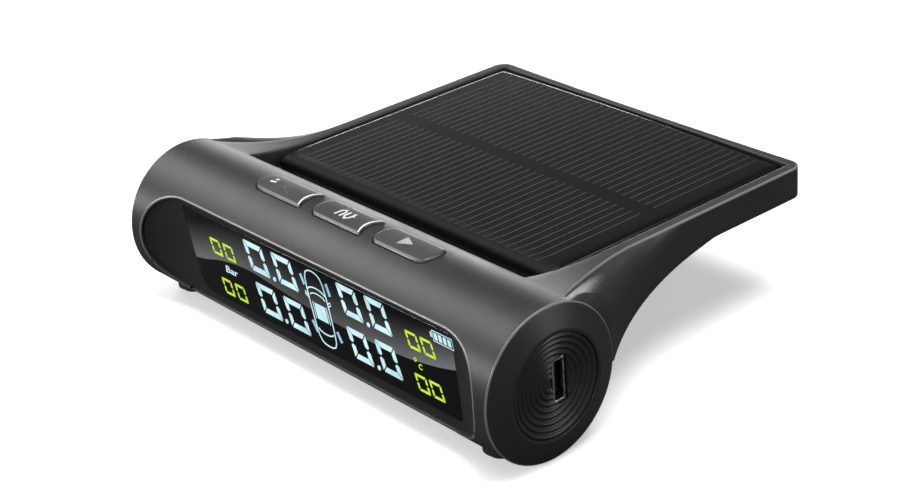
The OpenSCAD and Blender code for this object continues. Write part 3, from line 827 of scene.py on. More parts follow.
keyShape = {
    "half": 6.75, "halfY": 2.75, "pitch": 15.7, "y": -0.3, "gap": 0.2,
    "crown": 0.4, "edge": 0.4, "bow": 0.95, "skirtZ": 23.5, "flange": 0.7, "bottomZ": 22.9,
    # corner radii from the rear right, anticlockwise
    "corners": {"back": (0.3, 2.5, 2.5, 0.3), "set": (0.3, 1.1, 1.1, 0.3), "next": (1.9, 1.1, 1.1, 1.9)},
    "places": {"back": -1, "set": 0, "next": 1},
    # width and inset of the painted highlight strips on the keys' right ends
    "glintWidth": 0.42, "glintInset": 0.32, "markDepth": 0.03, "stemR": 1.4, "stemZ": (22.6, 22.95),
}


def keyRing(name, grow=0.0, inset=0.0, steps=9):
    # outline of a key: the left end bows out and the right end bows in, so that neighbours nest
    shape = keyShape
    radii = [r + grow for r in shape["corners"][name]]
    points = []
    for x, y in roundedRing(shape["half"] + grow, shape["halfY"] + grow, radii, inset, steps, 10):
        level = min(abs(y) / (shape["halfY"] + grow), 1) ** 2
        if x < 0 and name != "back":
            x += shape["bow"] * level * min(-x / shape["half"], 1) ** 2
        if x > 0 and name != "next":
            x -= shape["bow"] * (1 - level) * min(x / shape["half"], 1) ** 2
        points.append((x, y))
    return points


def keySlots():
    bm = bmesh.new()
    for name, place in keyShape["places"].items():
        ring = keyRing(name, keyShape["gap"])
        rings = [[Vector((x + place * keyShape["pitch"], y + keyShape["y"], z)) for x, y in ring]
                 for z in (20, 30)]
        addRings(bm, rings)
    return closedObject("slotCutter", bm)


housing = buildHousing()
cutWith(housing, keySlots())
dress(housing, "housing", finishes["bodyPlastic"], ["upper_housing"],
      highlightFinish=finishes["paintedHighlightPlastic"])
print("housing shell:", len(housing.data.polygons), "faces")

# base, pad and wing cover
baseShape = {
    "radius": 12.92, "wall": 1.0, "xSteps": 90, "arcSteps": 44, "lipEnd": 34.9, "lipFade": 0.7,
    "foot": (33.0, 16.0, 10.0), "footR": 4.0, "footLow": 0.8, "footTop": 4.2, "edge": 0.4,
    "screws": [(x, y) for x in (-40.8, 40.8) for y in (-5.3, 5.3)],
    "headZ": 4.4, "headR": 1.95, "shankR": 1.2,
    "lipRows": [(-7.9, 4.5), (-9.1, 4.5), (-9.33, 4.45), (-9.46, 4.32), (-9.5, 4.15)],   # under the display
    "seamRows": [(-8.1, 4.15), (-9.0, 4.15), (-9.25, 4.15), (-9.38, 4.1), (-9.46, 4.02)],   # beside it
    "seamZ": (3.95, 4.12), "backRows": [(9.2, 4.15), (8.4, 4.15)],
    "well": (2.9, 1.9, 6.0, 1.1),   # radius, foot, top and mouth of each screw's well
    "padInset": 1.2, "padR": 2.8, "padTop": 0.8, "padEdge": 0.18,
}


def circlePoints(cx, cy, radius, steps=40):
    return [(cx + radius * math.cos(2 * math.pi * k / steps), cy + radius * math.sin(2 * math.pi * k / steps))
            for k in range(steps)]


def addTube(bm, spots, wallProfile):
    # a round well for a screw: profile points are (radius, height)
    for x, y in spots:
        rings = [[Vector((px, py, z)) for px, py in circlePoints(x, y, r)] for r, z in wallProfile]
        addRings(bm, rings, False, False)


def wellCutter(name, spots, radius, low, high):
    bm = bmesh.new()
    for x, y in spots:
        addRings(bm, [[Vector((px, py, z)) for px, py in circlePoints(x, y, radius)] for z in (low, high)])
    return closedObject(name, bm)


def plate(bm, halfX, halfY, midY, radii, levels, steps=10):
    # stack of rounded outlines, each level given as (inset, height)
    addRings(bm, [[Vector((x, y + midY, z)) for x, y in roundedRing(halfX, halfY, radii, inset, steps)]
                  for inset, z in levels])


def edgeLevels(low, high, edge, steps=5):
    # level list for a plate whose lower and upper edges are rounded
    turn = [math.pi / 2 * k / steps for k in range(steps + 1)]
    return ([(edge * (1 - math.sin(a)), low + edge * (1 - math.cos(a))) for a in turn]
            + [(edge * (1 - math.cos(a)), high - edge * (1 - math.sin(a))) for a in turn])


def buildBase():
    shape = baseShape
    bm = bmesh.new()
    half = barrel["half"] - 0.12
    turns = [2 * k / shape["xSteps"] - 1 for k in range(1, shape["xSteps"])]
    places = [half * (0.55 * t + 0.45 * t ** 3) for t in turns] + [-half, half]
    places += [side * (shape["lipEnd"] + shape["lipFade"] * k / 12) for side in (-1, 1) for k in range(13)]
    rows = []
    for x in sorted(places):
        side = smooth((abs(x) - shape["lipEnd"]) / shape["lipFade"])
        row = [Vector((x, a[0] + (b[0] - a[0]) * side, a[1] + (b[1] - a[1]) * side))
               for a, b in zip(shape["lipRows"], shape["seamRows"])]
        first, last = (math.acos((z - barrel["axisZ"]) / shape["radius"]) for z in shape["seamZ"])
        turn = 2 * math.pi - last - first
        row += [onBarrel(x, first + turn * j / shape["arcSteps"], shape["radius"])
                for j in range(shape["arcSteps"] + 1)]
        rows.append(row + [Vector((x, y, z)) for y, z in shape["backRows"]])
    addGrid(bm, rows, lambda p: (0, 0, 1) if p.z > 4.05 else (0, p.y, p.z - barrel["axisZ"]))
    base = newObject("baseShell", bm)
    thicken(base, shape["wall"], shape["radius"])
    cutWith(base, wellCutter("baseWells", shape["screws"], shape["headR"], -1, 3.5))

    def addFoot(bm):
        halfX, halfY, midY = shape["foot"]
        levels = edgeLevels(shape["footLow"], shape["footTop"], shape["edge"])
        plate(bm, halfX, halfY, midY, [shape["footR"]] * 4, levels, 12)
        wellR, low, top, mouth = shape["well"]
        head, shank = shape["headR"], shape["shankR"]
        addTube(bm, shape["screws"], [(wellR, low), (wellR, top), (shank, top), (shank, shape["headZ"]),
                                      (head, shape["headZ"]), (head, mouth)])

    addTo(base, addFoot)
    return dress(base, "housing", finishes["basePlastic"], ["base_cover"])


def buildPad():
    shape = baseShape
    bm = bmesh.new()
    halfX, halfY, midY = shape["foot"]
    plate(bm, halfX - shape["padInset"], halfY - shape["padInset"], midY, [shape["padR"]] * 4,
          edgeLevels(0, shape["padTop"], shape["padEdge"], 4), 12)
    pad = closedObject("gripPad", bm)
    return dress(pad, "housing", finishes["gripRubber"], ["grip_pad"], 50)


coverShape = {
    "front": 14.3, "rear": 66.1, "gap": 1.9, "rise": 0.08, "wall": 1.2, "cornerR": 2.0, "edge": 0.25,
    "screws": [(-28, 21), (28, 21)], "rows": 64, "columns": 44,
    "well": [(1.95, 0.15), (1.95, 1.2), (1.2, 1.2), (1.2, 2.6), (3, 2.6), (3, 1)],   # radius and height
}


def buildWingCover():
    shape = coverShape
    bm = bmesh.new()
    rows = []
    for k in range(shape["rows"] + 1):
        v = k / shape["rows"]
        y = shape["front"] + (shape["rear"] - shape["front"]) * (1 - (1 - v) ** 1.4)
        half = sweepX(y) - shape["gap"]
        into = max(y - (shape["rear"] - shape["cornerR"]), 0)
        half -= shape["cornerR"] - math.sqrt(max(shape["cornerR"] ** 2 - into ** 2, 0))
        row = []
        for j in range(shape["columns"] + 1):
            u = math.sin(math.pi / 2 * (2 * j / shape["columns"] - 1)) * 0.5 + (j / shape["columns"] - 0.5)
            margin = min(half * (1 - abs(u)), y - shape["front"], shape["rear"] - y)
            soften = shape["edge"] * (1 - min(margin / shape["edge"], 1)) ** 2
            row.append(Vector((half * u, y, underZ(y) + shape["rise"] + soften)))
        rows.append(row)
    addGrid(bm, rows, (0, 0, -1))
    cover = newObject("coverPlate", bm)
    thicken(cover, shape["wall"], barrel["radius"])
    cutWith(cover, wellCutter("coverWells", shape["screws"], 1.95, 9, 14))
    low = underZ(shape["screws"][0][1])
    addTo(cover, lambda bm: addTube(bm, shape["screws"], [(r, low + z) for r, z in shape["well"]]))
    return dress(cover, "housing", finishes["basePlastic"], ["wing_cover"])


buildBase()
buildPad()
buildWingCover()
print("base, pad and wing cover built")

# bezel and window
windowShape = {
    "corners": [(-35.4, 20.4), (35.4, 20.9), (37.2, 6.3), (-31.2, 5.8)],
    "radii": (0.25, 0.5, 1.1, 2.8),
    "front": -9.15, "back": -8.2, "bevel": 0.12,
}
bezelShape = {"loopR": 12.52, "lowZ": 4.55, "wall": 1.2, "columns": 150, "rows": 26, "seat": 0.04}


def roundCorners(points, radii, steps=8):
    rounded = []
    count = len(points)
    for k, (point, radius) in enumerate(zip(points, radii)):
        here = Vector(point)
        before = (Vector(points[k - 1]) - here).normalized()
        after = (Vector(points[(k + 1) % count]) - here).normalized()
        rounded += curve2(here + before * radius, here, here + after * radius, steps)
    return rounded


def windowRing(inset):
    mid = sum((Vector(c) for c in windowShape["corners"]), Vector((0, 0))) / 4
    moved = []
    for corner in windowShape["corners"]:
        d = Vector(corner) - mid
        moved.append(Vector(corner) - Vector((math.copysign(inset, d.x), math.copysign(inset, d.y))))
    return roundCorners(moved, [max(r - inset * 0.4, 0.02) for r in windowShape["radii"]], 10)


def buildWindow():
    shape = windowShape
    bevel = shape["bevel"]
    bm = bmesh.new()
    turn = [math.pi / 2 * k / 4 for k in range(5)]
    levels = [(bevel * (1 - math.sin(a)), shape["front"] + bevel * (1 - math.cos(a))) for a in turn]
    levels += [(0, shape["back"] - 0.1), (0.1, shape["back"])]
    addRings(bm, [[Vector((p.x, y, p.y)) for p in windowRing(inset)] for inset, y in levels])
    return closedObject("windowPane", bm)


def buildBezel():
    shape = bezelShape
    bm = bmesh.new()
    reach = barrel["faceR"] - barrel["faceY"] - barrel["setBack"] - shape["loopR"]
    endX = barrel["faceHalf"] + math.sqrt(barrel["faceR"] ** 2 - reach ** 2)
    rows = []
    for k in range(shape["columns"] + 1):
        x = endX * 0.9999 * math.sin(math.pi / 2 * (2 * k / shape["columns"] - 1))
        y = faceYAt(x) + barrel["setBack"]
        tall = math.sqrt(max(shape["loopR"] ** 2 - y * y, 0))
        high, low = barrel["axisZ"] + tall, max(barrel["axisZ"] - tall, shape["lowZ"])
        step = (high - low) / shape["rows"]
        rows.append([Vector((x, y, low + step * j)) for j in range(shape["rows"] + 1)])
    addGrid(bm, rows, (0, -1, 0))
    cleanMesh(bm, 0.002)
    bezel = newObject("bezelPlate", bm)
    thicken(bezel, shape["wall"], barrel["radius"])
    bm = bmesh.new()
    addRings(bm, [[Vector((p.x, y, p.y)) for p in windowRing(-shape["seat"])] for y in (-14, -5)])
    cutWith(bezel, closedObject("windowCutter", bm))
    return dress(bezel, "housing", finishes["bezelPlastic"], ["front_bezel"], 30)


paintedReflectionLook = {
    "line": [(-36, 11.0), (-31.7, 11.4), (-24, 13.2), (-17.1, 13.9), (-10, 13.4), (-3.2, 12.8), (8.5, 12.3),
             (21.3, 12.5), (30, 13.6), (38, 15.6)],   # upper edge of the black part, as x and height
    "tall": 20, "fade": 7.5,
}


def smokedWindowPaintedReflection():
    # smoked pane: black below a curved line; above it a painted reflection, a paler grey that fades upwards
    # and is strongest towards the ends
    gloss = {"Coat Weight": 0.2, "Coat Roughness": 0.03, "Specular IOR Level": 0.2}
    material, tree, shader = startMaterial("smokedWindowPaintedReflection", gloss)
    place = tree.nodes.new("ShaderNodeSeparateXYZ")
    tree.links.new(placeVector(tree), place.inputs[0])
    low, high, tall = paintedReflectionLook["line"][0][0], paintedReflectionLook["line"][-1][0], paintedReflectionLook["tall"]
    across = spread(tree, place.outputs["X"], low * mm, high * mm)
    line = tree.nodes.new("ShaderNodeFloatCurve")
    curve = line.mapping.curves[0]
    spots = [((x - low) / (high - low), z / tall) for x, z in paintedReflectionLook["line"]]
    for x, z in spots[1:-1]:
        curve.points.new(x, z)
    for point, spot in zip(curve.points, spots):
        point.location = spot
    line.mapping.update()
    tree.links.new(across, line.inputs["Value"])
    lineZ = times(tree, line.outputs["Value"], tall * mm)
    above = mathNode(tree, "SUBTRACT", place.outputs["Z"], lineZ)
    mask = spread(tree, above, 0.0, 0.12 * mm)
    fade = mathNode(tree, "POWER", spread(tree, above, 0.0, paintedReflectionLook["fade"] * mm, 1.0, 0.0), 1.6)
    ends = mathNode(tree, "ABSOLUTE", mathNode(tree, "SUBTRACT", across, 0.45))
    ends = spread(tree, ends, 0.0, 0.5, 0.35, 1.0)
    # painted reflection: the paler grey band mixed in above the line
    paintedReflection = times(tree, times(tree, fade, ends), mask)
    cloud = spread(tree, noiseNode(tree, placeVector(tree), 120.0, 2.0), 0.3, 0.7, 0.85, 1.0)
    paintedReflection = times(tree, paintedReflection, cloud, True)
    wear = useGroup(tree, wearDust, Dust=0.03, Scuffs=0.15)
    feed(tree, shader, mixColour(tree, paintedReflection, (0.0022, 0.0023, 0.0026), (0.3, 0.305, 0.31)),
         spread(tree, wear["Scuffs"], 0, 1, 0.07, 0.3))
    return material


finishes["smokedWindowPaintedReflection"] = smokedWindowPaintedReflection()
buildBezel()
dress(buildWindow(), "housing", finishes["smokedWindowPaintedReflection"], ["display_window"], 30)
print("bezel and window built")

# lit marks on the display
markShape = {
    "plane": -9.15, "proud": 0.012, "depth": 0.03, "shear": -0.38, "sharp": 20,
    "bigBars": (5.1, 0.95, 0.2),      # height, bar width and gap of the pressure figures
    "big": [(-15.62, 14.54, 5.2), (-7.81, 14.72, 5.2), (-13.29, 7.36, 5.2), (-5.6, 7.4, 5.2),
            (9.49, 15.08, 4.75), (16.58, 15.25, 4.75), (11.23, 7.86, 4.75), (18.36, 8.16, 4.75)],
    "points": [(-9.31, 14.86), (-7.12, 7.81), (15.32, 15.28), (17.09, 8.26)], "pointR": 0.42,
    "smallBars": (2.75, 0.42, 0.13),  # and of the temperature figures
    "small": [(-26.69, 14.03), (-22.9, 14.06), (-24.42, 7.13), (-20.64, 7.21),
              (25.36, 15.06), (28.92, 15.13), (26.94, 8.12), (30.38, 8.2)],
    "batteryLine": [(30.97, 20.07), (35.56, 20.09), (35.99, 18.42), (31.4, 18.42), (30.97, 20.07)],
    "batteryBars": [[(x, 19.8), (x + 0.72, 19.8), (x + 1.02, 18.7), (x + 0.3, 18.7)]
                    for x in (31.35, 32.4, 33.45, 34.5)],
    "batteryEnd": [(30.5, 19.7), (30.85, 19.7), (31.05, 18.9), (30.7, 18.9)],
    "wheels": [((-1.83, 18.47), (-0.92, 16.82)), ((4.95, 18.87), (5.8, 16.87)),
               ((0.32, 10.77), (1.52, 8.95)), ((6.79, 10.88), (7.85, 9.24))], "wheelWidth": 0.62,
}


def onWindow(u, v, lift=0.0):
    return Vector((u, markShape["plane"] - markShape["proud"] - lift, v))


def addPrism(bm, outline, place, depth):
    # flat mark with a little thickness; outline given in the surface's own two directions
    top = [place(u, v, depth) for u, v in outline]
    low = [place(u, v, 0) for u, v in outline]
    addRings(bm, [low, top], False, True)


def addRibbon(bm, points, width, place, depth, taper=None):
    # stroke of even width along a line of points
    line = [Vector(p) for p in points]
    left, right = [], []
    for k, p in enumerate(line):
        along = (line[min(k + 1, len(line) - 1)] - line[max(k - 1, 0)]).normalized()
        across = Vector((-along.y, along.x)) * width / 2 * (taper[k] if taper else 1)
        left.append(p + across)
        right.append(p - across)
    for k in range(len(line) - 1):
        addPrism(bm, [left[k], right[k], right[k + 1], left[k + 1]], place, depth)


def digitSegments(w, h, t, gap):
    # the six outer bars of a figure, with gaps where they meet
    level = [(gap, 0), (w - gap, 0), (w - t - gap * 0.3, t), (t + gap * 0.3, t)]
    m = h / 2
    post = [(0, gap), (t, t + gap), (t, m - gap - t * 0.25), (t * 0.5, m - gap * 0.6), (0, m - gap - t * 0.2)]
    bars = [[(u, h - v) for u, v in level], level, [(u, h - v) for u, v in post], post]
    return bars + [[(w - u, v) for u, v in bar] for bar in bars[2:]]


def addDigit(bm, x, z, w, h, t, gap):
    for outline in digitSegments(w, h, t, gap):
        leaning = [(x + u + v * markShape["shear"], z + v) for u, v in outline]
        addPrism(bm, leaning, onWindow, markShape["depth"])


def addWord(bm, text, x, z, size, stretch=1.0):
    # small word in the plain built-in face, its lower left corner at x and z
    data = bpy.data.curves.new("word", "FONT")
    data.body = text
    data.size = size
    data.offset = 0.015 * size
    data.extrude = markShape["depth"] / 2
    data.resolution_u = 3
    holder = bpy.data.objects.new("word", data)
    scene.collection.objects.link(holder)
    bpy.context.view_layer.update()
    mesh = bpy.data.meshes.new_from_object(holder.evaluated_get(bpy.context.evaluated_depsgraph_get()))
    for vertex in mesh.vertices:
        u, v, lift = vertex.co
        vertex.co = onWindow(x + u * stretch, z + v, lift + markShape["depth"] / 2)
    bm.from_mesh(mesh)
    bpy.data.objects.remove(holder)
    bpy.data.curves.remove(data)
    bpy.data.meshes.remove(mesh)


def finishMarks(name, bm, material, body="housing"):
    return dress(closedObject(name, bm), body, material, (), markShape["sharp"])


carShape = {
    "x": 3.0, "midZ": 13.0, "shear": -0.25, "stroke": 0.24,
    # bows across the car: height, half width, rise, first and last angle, share of the stroke
    "bows": [(18.6, 2.1, 1.3, 20, 160, 1), (16.1, 2.3, 0.95, 15, 165, 1), (15.2, 2.1, 0.9, 20, 160, 0.8),
             (10.2, 2.1, 0.9, 200, 340, 1), (8.0, 1.8, 0.7, 200, 340, 1)],
    # side, mirror and door, drawn on both sides
    "sides": [([(1.9, 19.2), (2.3, 18.2), (2.45, 16.6), (2.5, 14.6), (2.45, 12.0), (2.4, 10.4), (2.2, 8.6),
                (1.7, 7.7)], 1),
              ([(2.5, 15.2), (3.2, 15.7), (3.3, 15.2), (2.6, 14.8)], 0.9),
              ([(1.75, 14.4), (1.85, 11.5)], 0.7)],
    "roof": [(-1.3, 14.3), (1.3, 14.3), (1.45, 13.4), (1.4, 11.6), (-1.4, 11.6), (-1.45, 13.4)],
}


def carLine(points):
    # a line drawn on an upright plan of the car, leaned back with the rest
    return [(carShape["x"] + u + (v - carShape["midZ"]) * carShape["shear"], v) for u, v in points]


def arcPoints(cx, cy, rx, ry, start, end, steps=18):
    return [(cx + rx * math.cos(math.radians(start + (end - start) * k / steps)),
             cy + ry * math.sin(math.radians(start + (end - start) * k / steps))) for k in range(steps + 1)]


def buildMarks():
    shape = markShape
    ice, lime, wheels = bmesh.new(), bmesh.new(), bmesh.new()

    def draw(bm, points, width):
        addRibbon(bm, points, width, onWindow, shape["depth"])

    def fill(bm, outline):
        addPrism(bm, outline, onWindow, shape["depth"])

    for x, z, w in shape["big"]:
        addDigit(ice, x, z, w, *shape["bigBars"])
    for x, z in shape["points"]:
        fill(ice, arcPoints(x, z, shape["pointR"], shape["pointR"], 0, 360, 14)[:-1])
    for x, z in shape["small"]:
        addDigit(lime, x, z, shape["smallBars"][0], *shape["smallBars"])
    addWord(ice, "Bar", -23.8, 11.45, 1.75, 1.45)
    addWord(lime, "C", 27.15, 12.0, 1.35)
    draw(lime, arcPoints(26.45, 13.3, 0.28, 0.28, 0, 360, 14), 0.14)   # degree mark
    draw(ice, shape["batteryLine"], 0.16)
    for outline in shape["batteryBars"] + [shape["batteryEnd"]]:
        fill(ice, outline)
    stroke = carShape["stroke"]
    for z, rx, ry, start, end, share in carShape["bows"]:
        draw(ice, carLine(arcPoints(0, z, rx, ry, start, end)), stroke * share)
    for sign in (-1, 1):
        for line, share in carShape["sides"]:
            draw(ice, carLine([(sign * u, v) for u, v in line]), stroke * share)
    fill(ice, carLine(carShape["roof"]))
    for line in shape["wheels"]:
        draw(wheels, line, shape["wheelWidth"])
    for name, bm in (("ice", ice), ("lime", lime), ("wheel", wheels)):
        finishMarks(name + "Marks", bm, finishes[name + "Light"])


buildMarks()
print("display marks built")

# keys
def keySurface(y):
    r = barrel["radius"] + keyShape["crown"]
    return barrel["axisZ"] + math.sqrt(r * r - y * y)


def buildKey(name):
    shape = keyShape
    place = shape["places"][name] * shape["pitch"]
    bm = bmesh.new()

    def ring(inset, drop=None, z=None, grow=0.0):
        points = []
        for x, y in keyRing(name, grow, inset):
            height = z if z is not None else keySurface(y + shape["y"]) - drop
            points.append(Vector((place + x, y + shape["y"], height)))
        return points

    edge = shape["edge"]
    rings = [ring(0, z=shape[level], grow=shape["flange"]) for level in ("bottomZ", "skirtZ")]
    rings += [ring(0, z=shape["skirtZ"]), ring(0, z=shape["skirtZ"] + 0.6)]
    turn = [math.pi / 2 * k / 7 for k in range(8)]
    rings += [ring(edge * (1 - math.cos(a)), drop=edge * (1 - math.sin(a))) for a in turn]
    steps = 7
    rings += [ring(edge + (shape["halfY"] - edge - 0.15) * k / steps, drop=0) for k in range(1, steps + 1)]
    addRings(bm, rings)
    stem = circlePoints(place, shape["y"], shape["stemR"])
    addRings(bm, [[Vector((x, y, z)) for x, y in stem] for z in shape["stemZ"]])
    return dress(closedObject("keyCap_" + name, bm), "key_" + name, finishes["smokedKey"],
                 ["key_" + name], 45)


def onKey(x, y, lift=0.0):
    return Vector((x, y + keyShape["y"], keySurface(y + keyShape["y"]) + 0.01 + lift))


# finish for the key prints, and for the painted highlight strip on the keys' right ends
def keyPrintAndGlint(name, colour, rough):
    material, tree, shader = startMaterial(name, {"Specular IOR Level": 0.5})
    place = placeVector(tree)
    patch = spread(tree, noiseNode(tree, place, 1800.0, 3.0), 0.3, 0.7)
    feed(tree, shader, mixColour(tree, patch, [c * 0.82 for c in colour], colour),
         spread(tree, patch, 0, 1, rough, rough + 0.12))
    return material


keyMarks = {   # piece: key, finish, and each line's points and width
    "printDash": ("back", "printWhite", [
        ([(-4.2, 0.9), (-3.5, 1.0)], 0.45), ([(-4.4, -0.2), (-3.2, 0.1)], 0.5)]),
    "printArrowBack": ("back", "printGrey", [
        ([(-0.9, 0), (1.5, 1.3), (1.5, -1.3), (-0.9, 0), (1.5, 1.3)], 0.22)]),
    "printSet": ("set", "printWhite", [
        ([(-1.7, -1.0), (-1.5, 0.5), (-0.9, 1.1), (-0.4, 0.4), (-0.5, -1.0)], 0.42),
        ([(0.3, 1.0), (0.25, -0.4), (0.8, -1.1), (1.5, -0.5), (1.5, 1.1)], 0.42),
        ([(1.5, 0.1), (2.1, 0.2)], 0.36)]),
    "printArrowNext": ("next", "printPale", [
        ([(-1.3 + 2.5 * k / 12, 1.25 * (1 - k / 12) * (j / 3 - 1)) for j in range(7)], 0.215)
        for k in range(12)]),
}
# print colours, and the near-white painted highlight strip for the keys' right ends
keyPrintAndGlintLooks = {"printWhite": ((0.72, 0.74, 0.75), 0.3), "printGrey": ((0.16, 0.163, 0.168), 0.35),
                 "printPale": ((0.4, 0.405, 0.41), 0.35), "paintedKeyGlint": ((0.86, 0.87, 0.88), 0.12)}


def buildKeyPrints():
    shape = keyShape
    for piece, (key, finish, lines) in keyMarks.items():
        bm = bmesh.new()
        place = shape["places"][key] * shape["pitch"]
        for points, width in lines:
            addRibbon(bm, [(place + x, y) for x, y in points], width, onKey, shape["markDepth"])
        finishMarks(piece, bm, finishes[finish], "key_" + key)


def buildPaintedKeyGlint(name):
    # painted highlight: a near-white strip standing in for the glint where a key meets the next one
    shape = keyShape
    bm = bmesh.new()
    right = shape["places"][name] * shape["pitch"] + shape["half"] - shape["glintInset"]
    edge = []
    for k in range(15):
        y = shape["halfY"] * 0.93 * (2 * k / 14 - 1)
        edge.append((right - shape["bow"] * (1 - (y / shape["halfY"]) ** 2), y))
    taper = [0.35 + 0.65 * math.sin(math.pi * (k + 1) / 16) for k in range(15)]
    addRibbon(bm, edge, shape["glintWidth"], onKey, shape["markDepth"], taper)
    finishMarks("paintedKeyGlint_" + name, bm, finishes["paintedKeyGlint"], "key_" + name)


for name, (colour, rough) in keyPrintAndGlintLooks.items():
    finishes[name] = keyPrintAndGlint(name, colour, rough)
for keyName in keyShape["places"]:
    buildKey(keyName)
buildKeyPrints()
for keyName in ("back", "set"):
    buildPaintedKeyGlint(keyName)
print("keys built")

# solar panel
panelShape = {
    "half": 34.6, "front": 11.7, "rear": 65.2, "low": 20.95, "edgeZ": 22.75, "crown": 23.25, "roll": 1.5,
    "pitch": 1.74, "lineWidth": 0.1, "margin": 3.0, "split": 37.4, "band": 1.5,
    "frontRoll": 3.2, "drop": 1.3, "frontGap": 1.5, "rearGap": 1.2, "soft": 0.1,
}


def panelZ(x, y):
    shape = panelShape
    crown = shape["crown"] - (shape["crown"] - shape["edgeZ"]) * (x / shape["half"]) ** 2 * 0.75
    drops = [max(1 - edge / shape["roll"], 0) ** 2 for edge in (shape["half"] - abs(x), shape["rear"] - y)]
    drops.append(max(1 - (y - shape["front"]) / shape["frontRoll"], 0) ** 2.2)
    total = min(math.sqrt(sum(d * d for d in drops)), 1)
    return crown - shape["drop"] * (1 - math.sqrt(1 - total * total * 0.98))


def buildPanel():
    shape = panelShape
    roll = shape["roll"]
    near = [roll * (k / 14) ** 2 for k in range(15)]

    def spaced(low, high, count):
        inner = [low + roll + (high - low - 2 * roll) * k / count for k in range(1, count)]
        return [low + d for d in near] + inner + [high - d for d in reversed(near)]

    bm = bmesh.new()
    xs, ys = spaced(-shape["half"], shape["half"], 48), spaced(shape["front"], shape["rear"], 36)
    addGrid(bm, [[Vector((x, y, panelZ(x, y))) for x in xs] for y in ys], (0, 0, 1))
    cleanMesh(bm, 0.001)
    rim = [e for e in bm.edges if e.is_boundary]
    pulled = bmesh.ops.extrude_edge_only(bm, edges=rim)["geom"]
    for item in pulled:
        if isinstance(item, bmesh.types.BMVert):
            item.co.z = shape["low"]
    bmesh.ops.contextual_create(bm, geom=[e for e in bm.edges if e.is_boundary])
    cover = closedObject("panelCover", bm)
    return dress(cover, "housing", finishes["solarResin"], ["solar_cover"], 60)


def solarResin():
    # black cells under clear resin, with printed finger lines in two fields
    shape = panelShape
    gloss = {"Coat Roughness": 0.08, "Specular IOR Level": 0.25}
    material, tree, shader = startMaterial("solarResin", gloss)
    place = tree.nodes.new("ShaderNodeSeparateXYZ")
    tree.links.new(placeVector(tree), place.inputs[0])
    x, y = place.outputs["X"], place.outputs["Y"]
    bend = mathNode(tree, "POWER", spread(tree, y, 0.0175, 0.0125), 2.0)
    shifted = mathNode(tree, "ADD", x, times(tree, bend, 0.7 * mm))
    saw = mathNode(tree, "FRACT", mathNode(tree, "DIVIDE", shifted, shape["pitch"] * mm))
    away = mathNode(tree, "ABSOLUTE", mathNode(tree, "SUBTRACT", saw, 0.5))
    half = shape["lineWidth"] / shape["pitch"] / 2
    line = spread(tree, away, half * 1.5, half * 0.6)
    reach = (shape["half"] - shape["margin"]) * mm
    soft = shape["soft"] * mm
    front, rear = (shape["front"] + shape["frontGap"]) * mm, (shape["rear"] - shape["rearGap"]) * mm
    inX = spread(tree, mathNode(tree, "ABSOLUTE", x), reach, reach - soft)
    middle = mathNode(tree, "ABSOLUTE", mathNode(tree, "SUBTRACT", y, shape["split"] * mm))
    inBand = spread(tree, middle, shape["band"] * mm, shape["band"] * mm + soft)
    inLength = times(tree, spread(tree, y, front, front + soft), spread(tree, y, rear, rear - soft))
    cell = times(tree, times(tree, inX, inBand), inLength)
    line = times(tree, line, cell)
    broken = spread(tree, noiseNode(tree, placeVector(tree), 300.0, 2.0), 0.25, 0.6, 0.8, 1.0)
    line = times(tree, line, broken, True)
    crystal = spread(tree, noiseNode(tree, placeVector(tree), 260.0, 4.0), 0.3, 0.7)
    ground = mixColour(tree, crystal, (0.0035, 0.0036, 0.004), (0.006, 0.0062, 0.0068))
    ground = mixColour(tree, cell, (0.003, 0.003, 0.0032), ground)
    nearFront = spread(tree, y, 0.013, 0.06, 1.0, 0.72)
    line = times(tree, line, nearFront)
    wear = useGroup(tree, wearDust, Dust=0.02, Scuffs=0.1)
    rolled = spread(tree, y, (shape["front"] + shape["frontRoll"]) * mm, (shape["front"] + 1.2) * mm)
    gloss = spread(tree, wear["Scuffs"], 0, 1, 0.22, 0.4)
    feed(tree, shader, mixColour(tree, line, ground, (0.105, 0.105, 0.1)),
         mathNode(tree, "ADD", gloss, times(tree, rolled, 0.45)))
    tree.links.new(spread(tree, rolled, 0, 1, 0.35, 0.0), shader.inputs["Coat Weight"])
    return material


finishes["solarResin"] = solarResin()
buildPanel()
print("solar panel built")

# end caps
capShape = {
    "fieldX": 48.2, "fieldR": 8.93, "sag": 1.1, "ripples": 8, "pitch": 0.98,
    "firstR": 8.6, "rippleDepth": 0.17, "plugR": 11.2, "plugX": 44.9, "segments": 192,
    "slot": (1.5, 3.95, 1.6, 13.1),   # half width, half height, and its middle's y and z
}


def capProfile():
    # (x, radius) from the plug outwards to the middle
    shape = capShape
    end = barrel["half"]
    r = barrel["radius"]
    points = [Vector((shape["plugX"], shape["plugR"] - 1)), Vector((shape["plugX"], shape["plugR"])),
              Vector((end + 0.02, shape["plugR"])), Vector((end + 0.02, r - 0.12))]
    points += curve2(Vector((end + 0.02, r - 0.1)), Vector((end + 0.02, r)), Vector((end + 0.12, r)), 3)
    cone = (Vector((shape["fieldX"], shape["fieldR"])) - Vector((end + 0.3, r))).normalized()
    turn = Vector((end + 0.36, r))
    points += curve2(Vector((end + 0.2, r)), turn, turn + cone * 0.35, 5)
    high = Vector((shape["fieldX"], shape["fieldR"] + 0.1))
    start = points[-1]
    points += [start.lerp(high, k / 8) for k in range(1, 8)]
    points += curve2(high - cone * 0.3, high, Vector((shape["fieldX"] - 0.1, shape["fieldR"] - 0.25)), 5)
    for k in range(shape["ripples"] * 10 + 1):
        phase = k / 10
        radius = shape["firstR"] - shape["pitch"] * phase
        dish = shape["fieldX"] - shape["sag"] * (1 - (radius / shape["fieldR"]) ** 2)
        dip = shape["rippleDepth"] * (1 + math.cos(2 * math.pi * phase))
        points.append(Vector((dish - dip, radius)))
    points.append(Vector((points[-1].x, 0.2)))
    return points


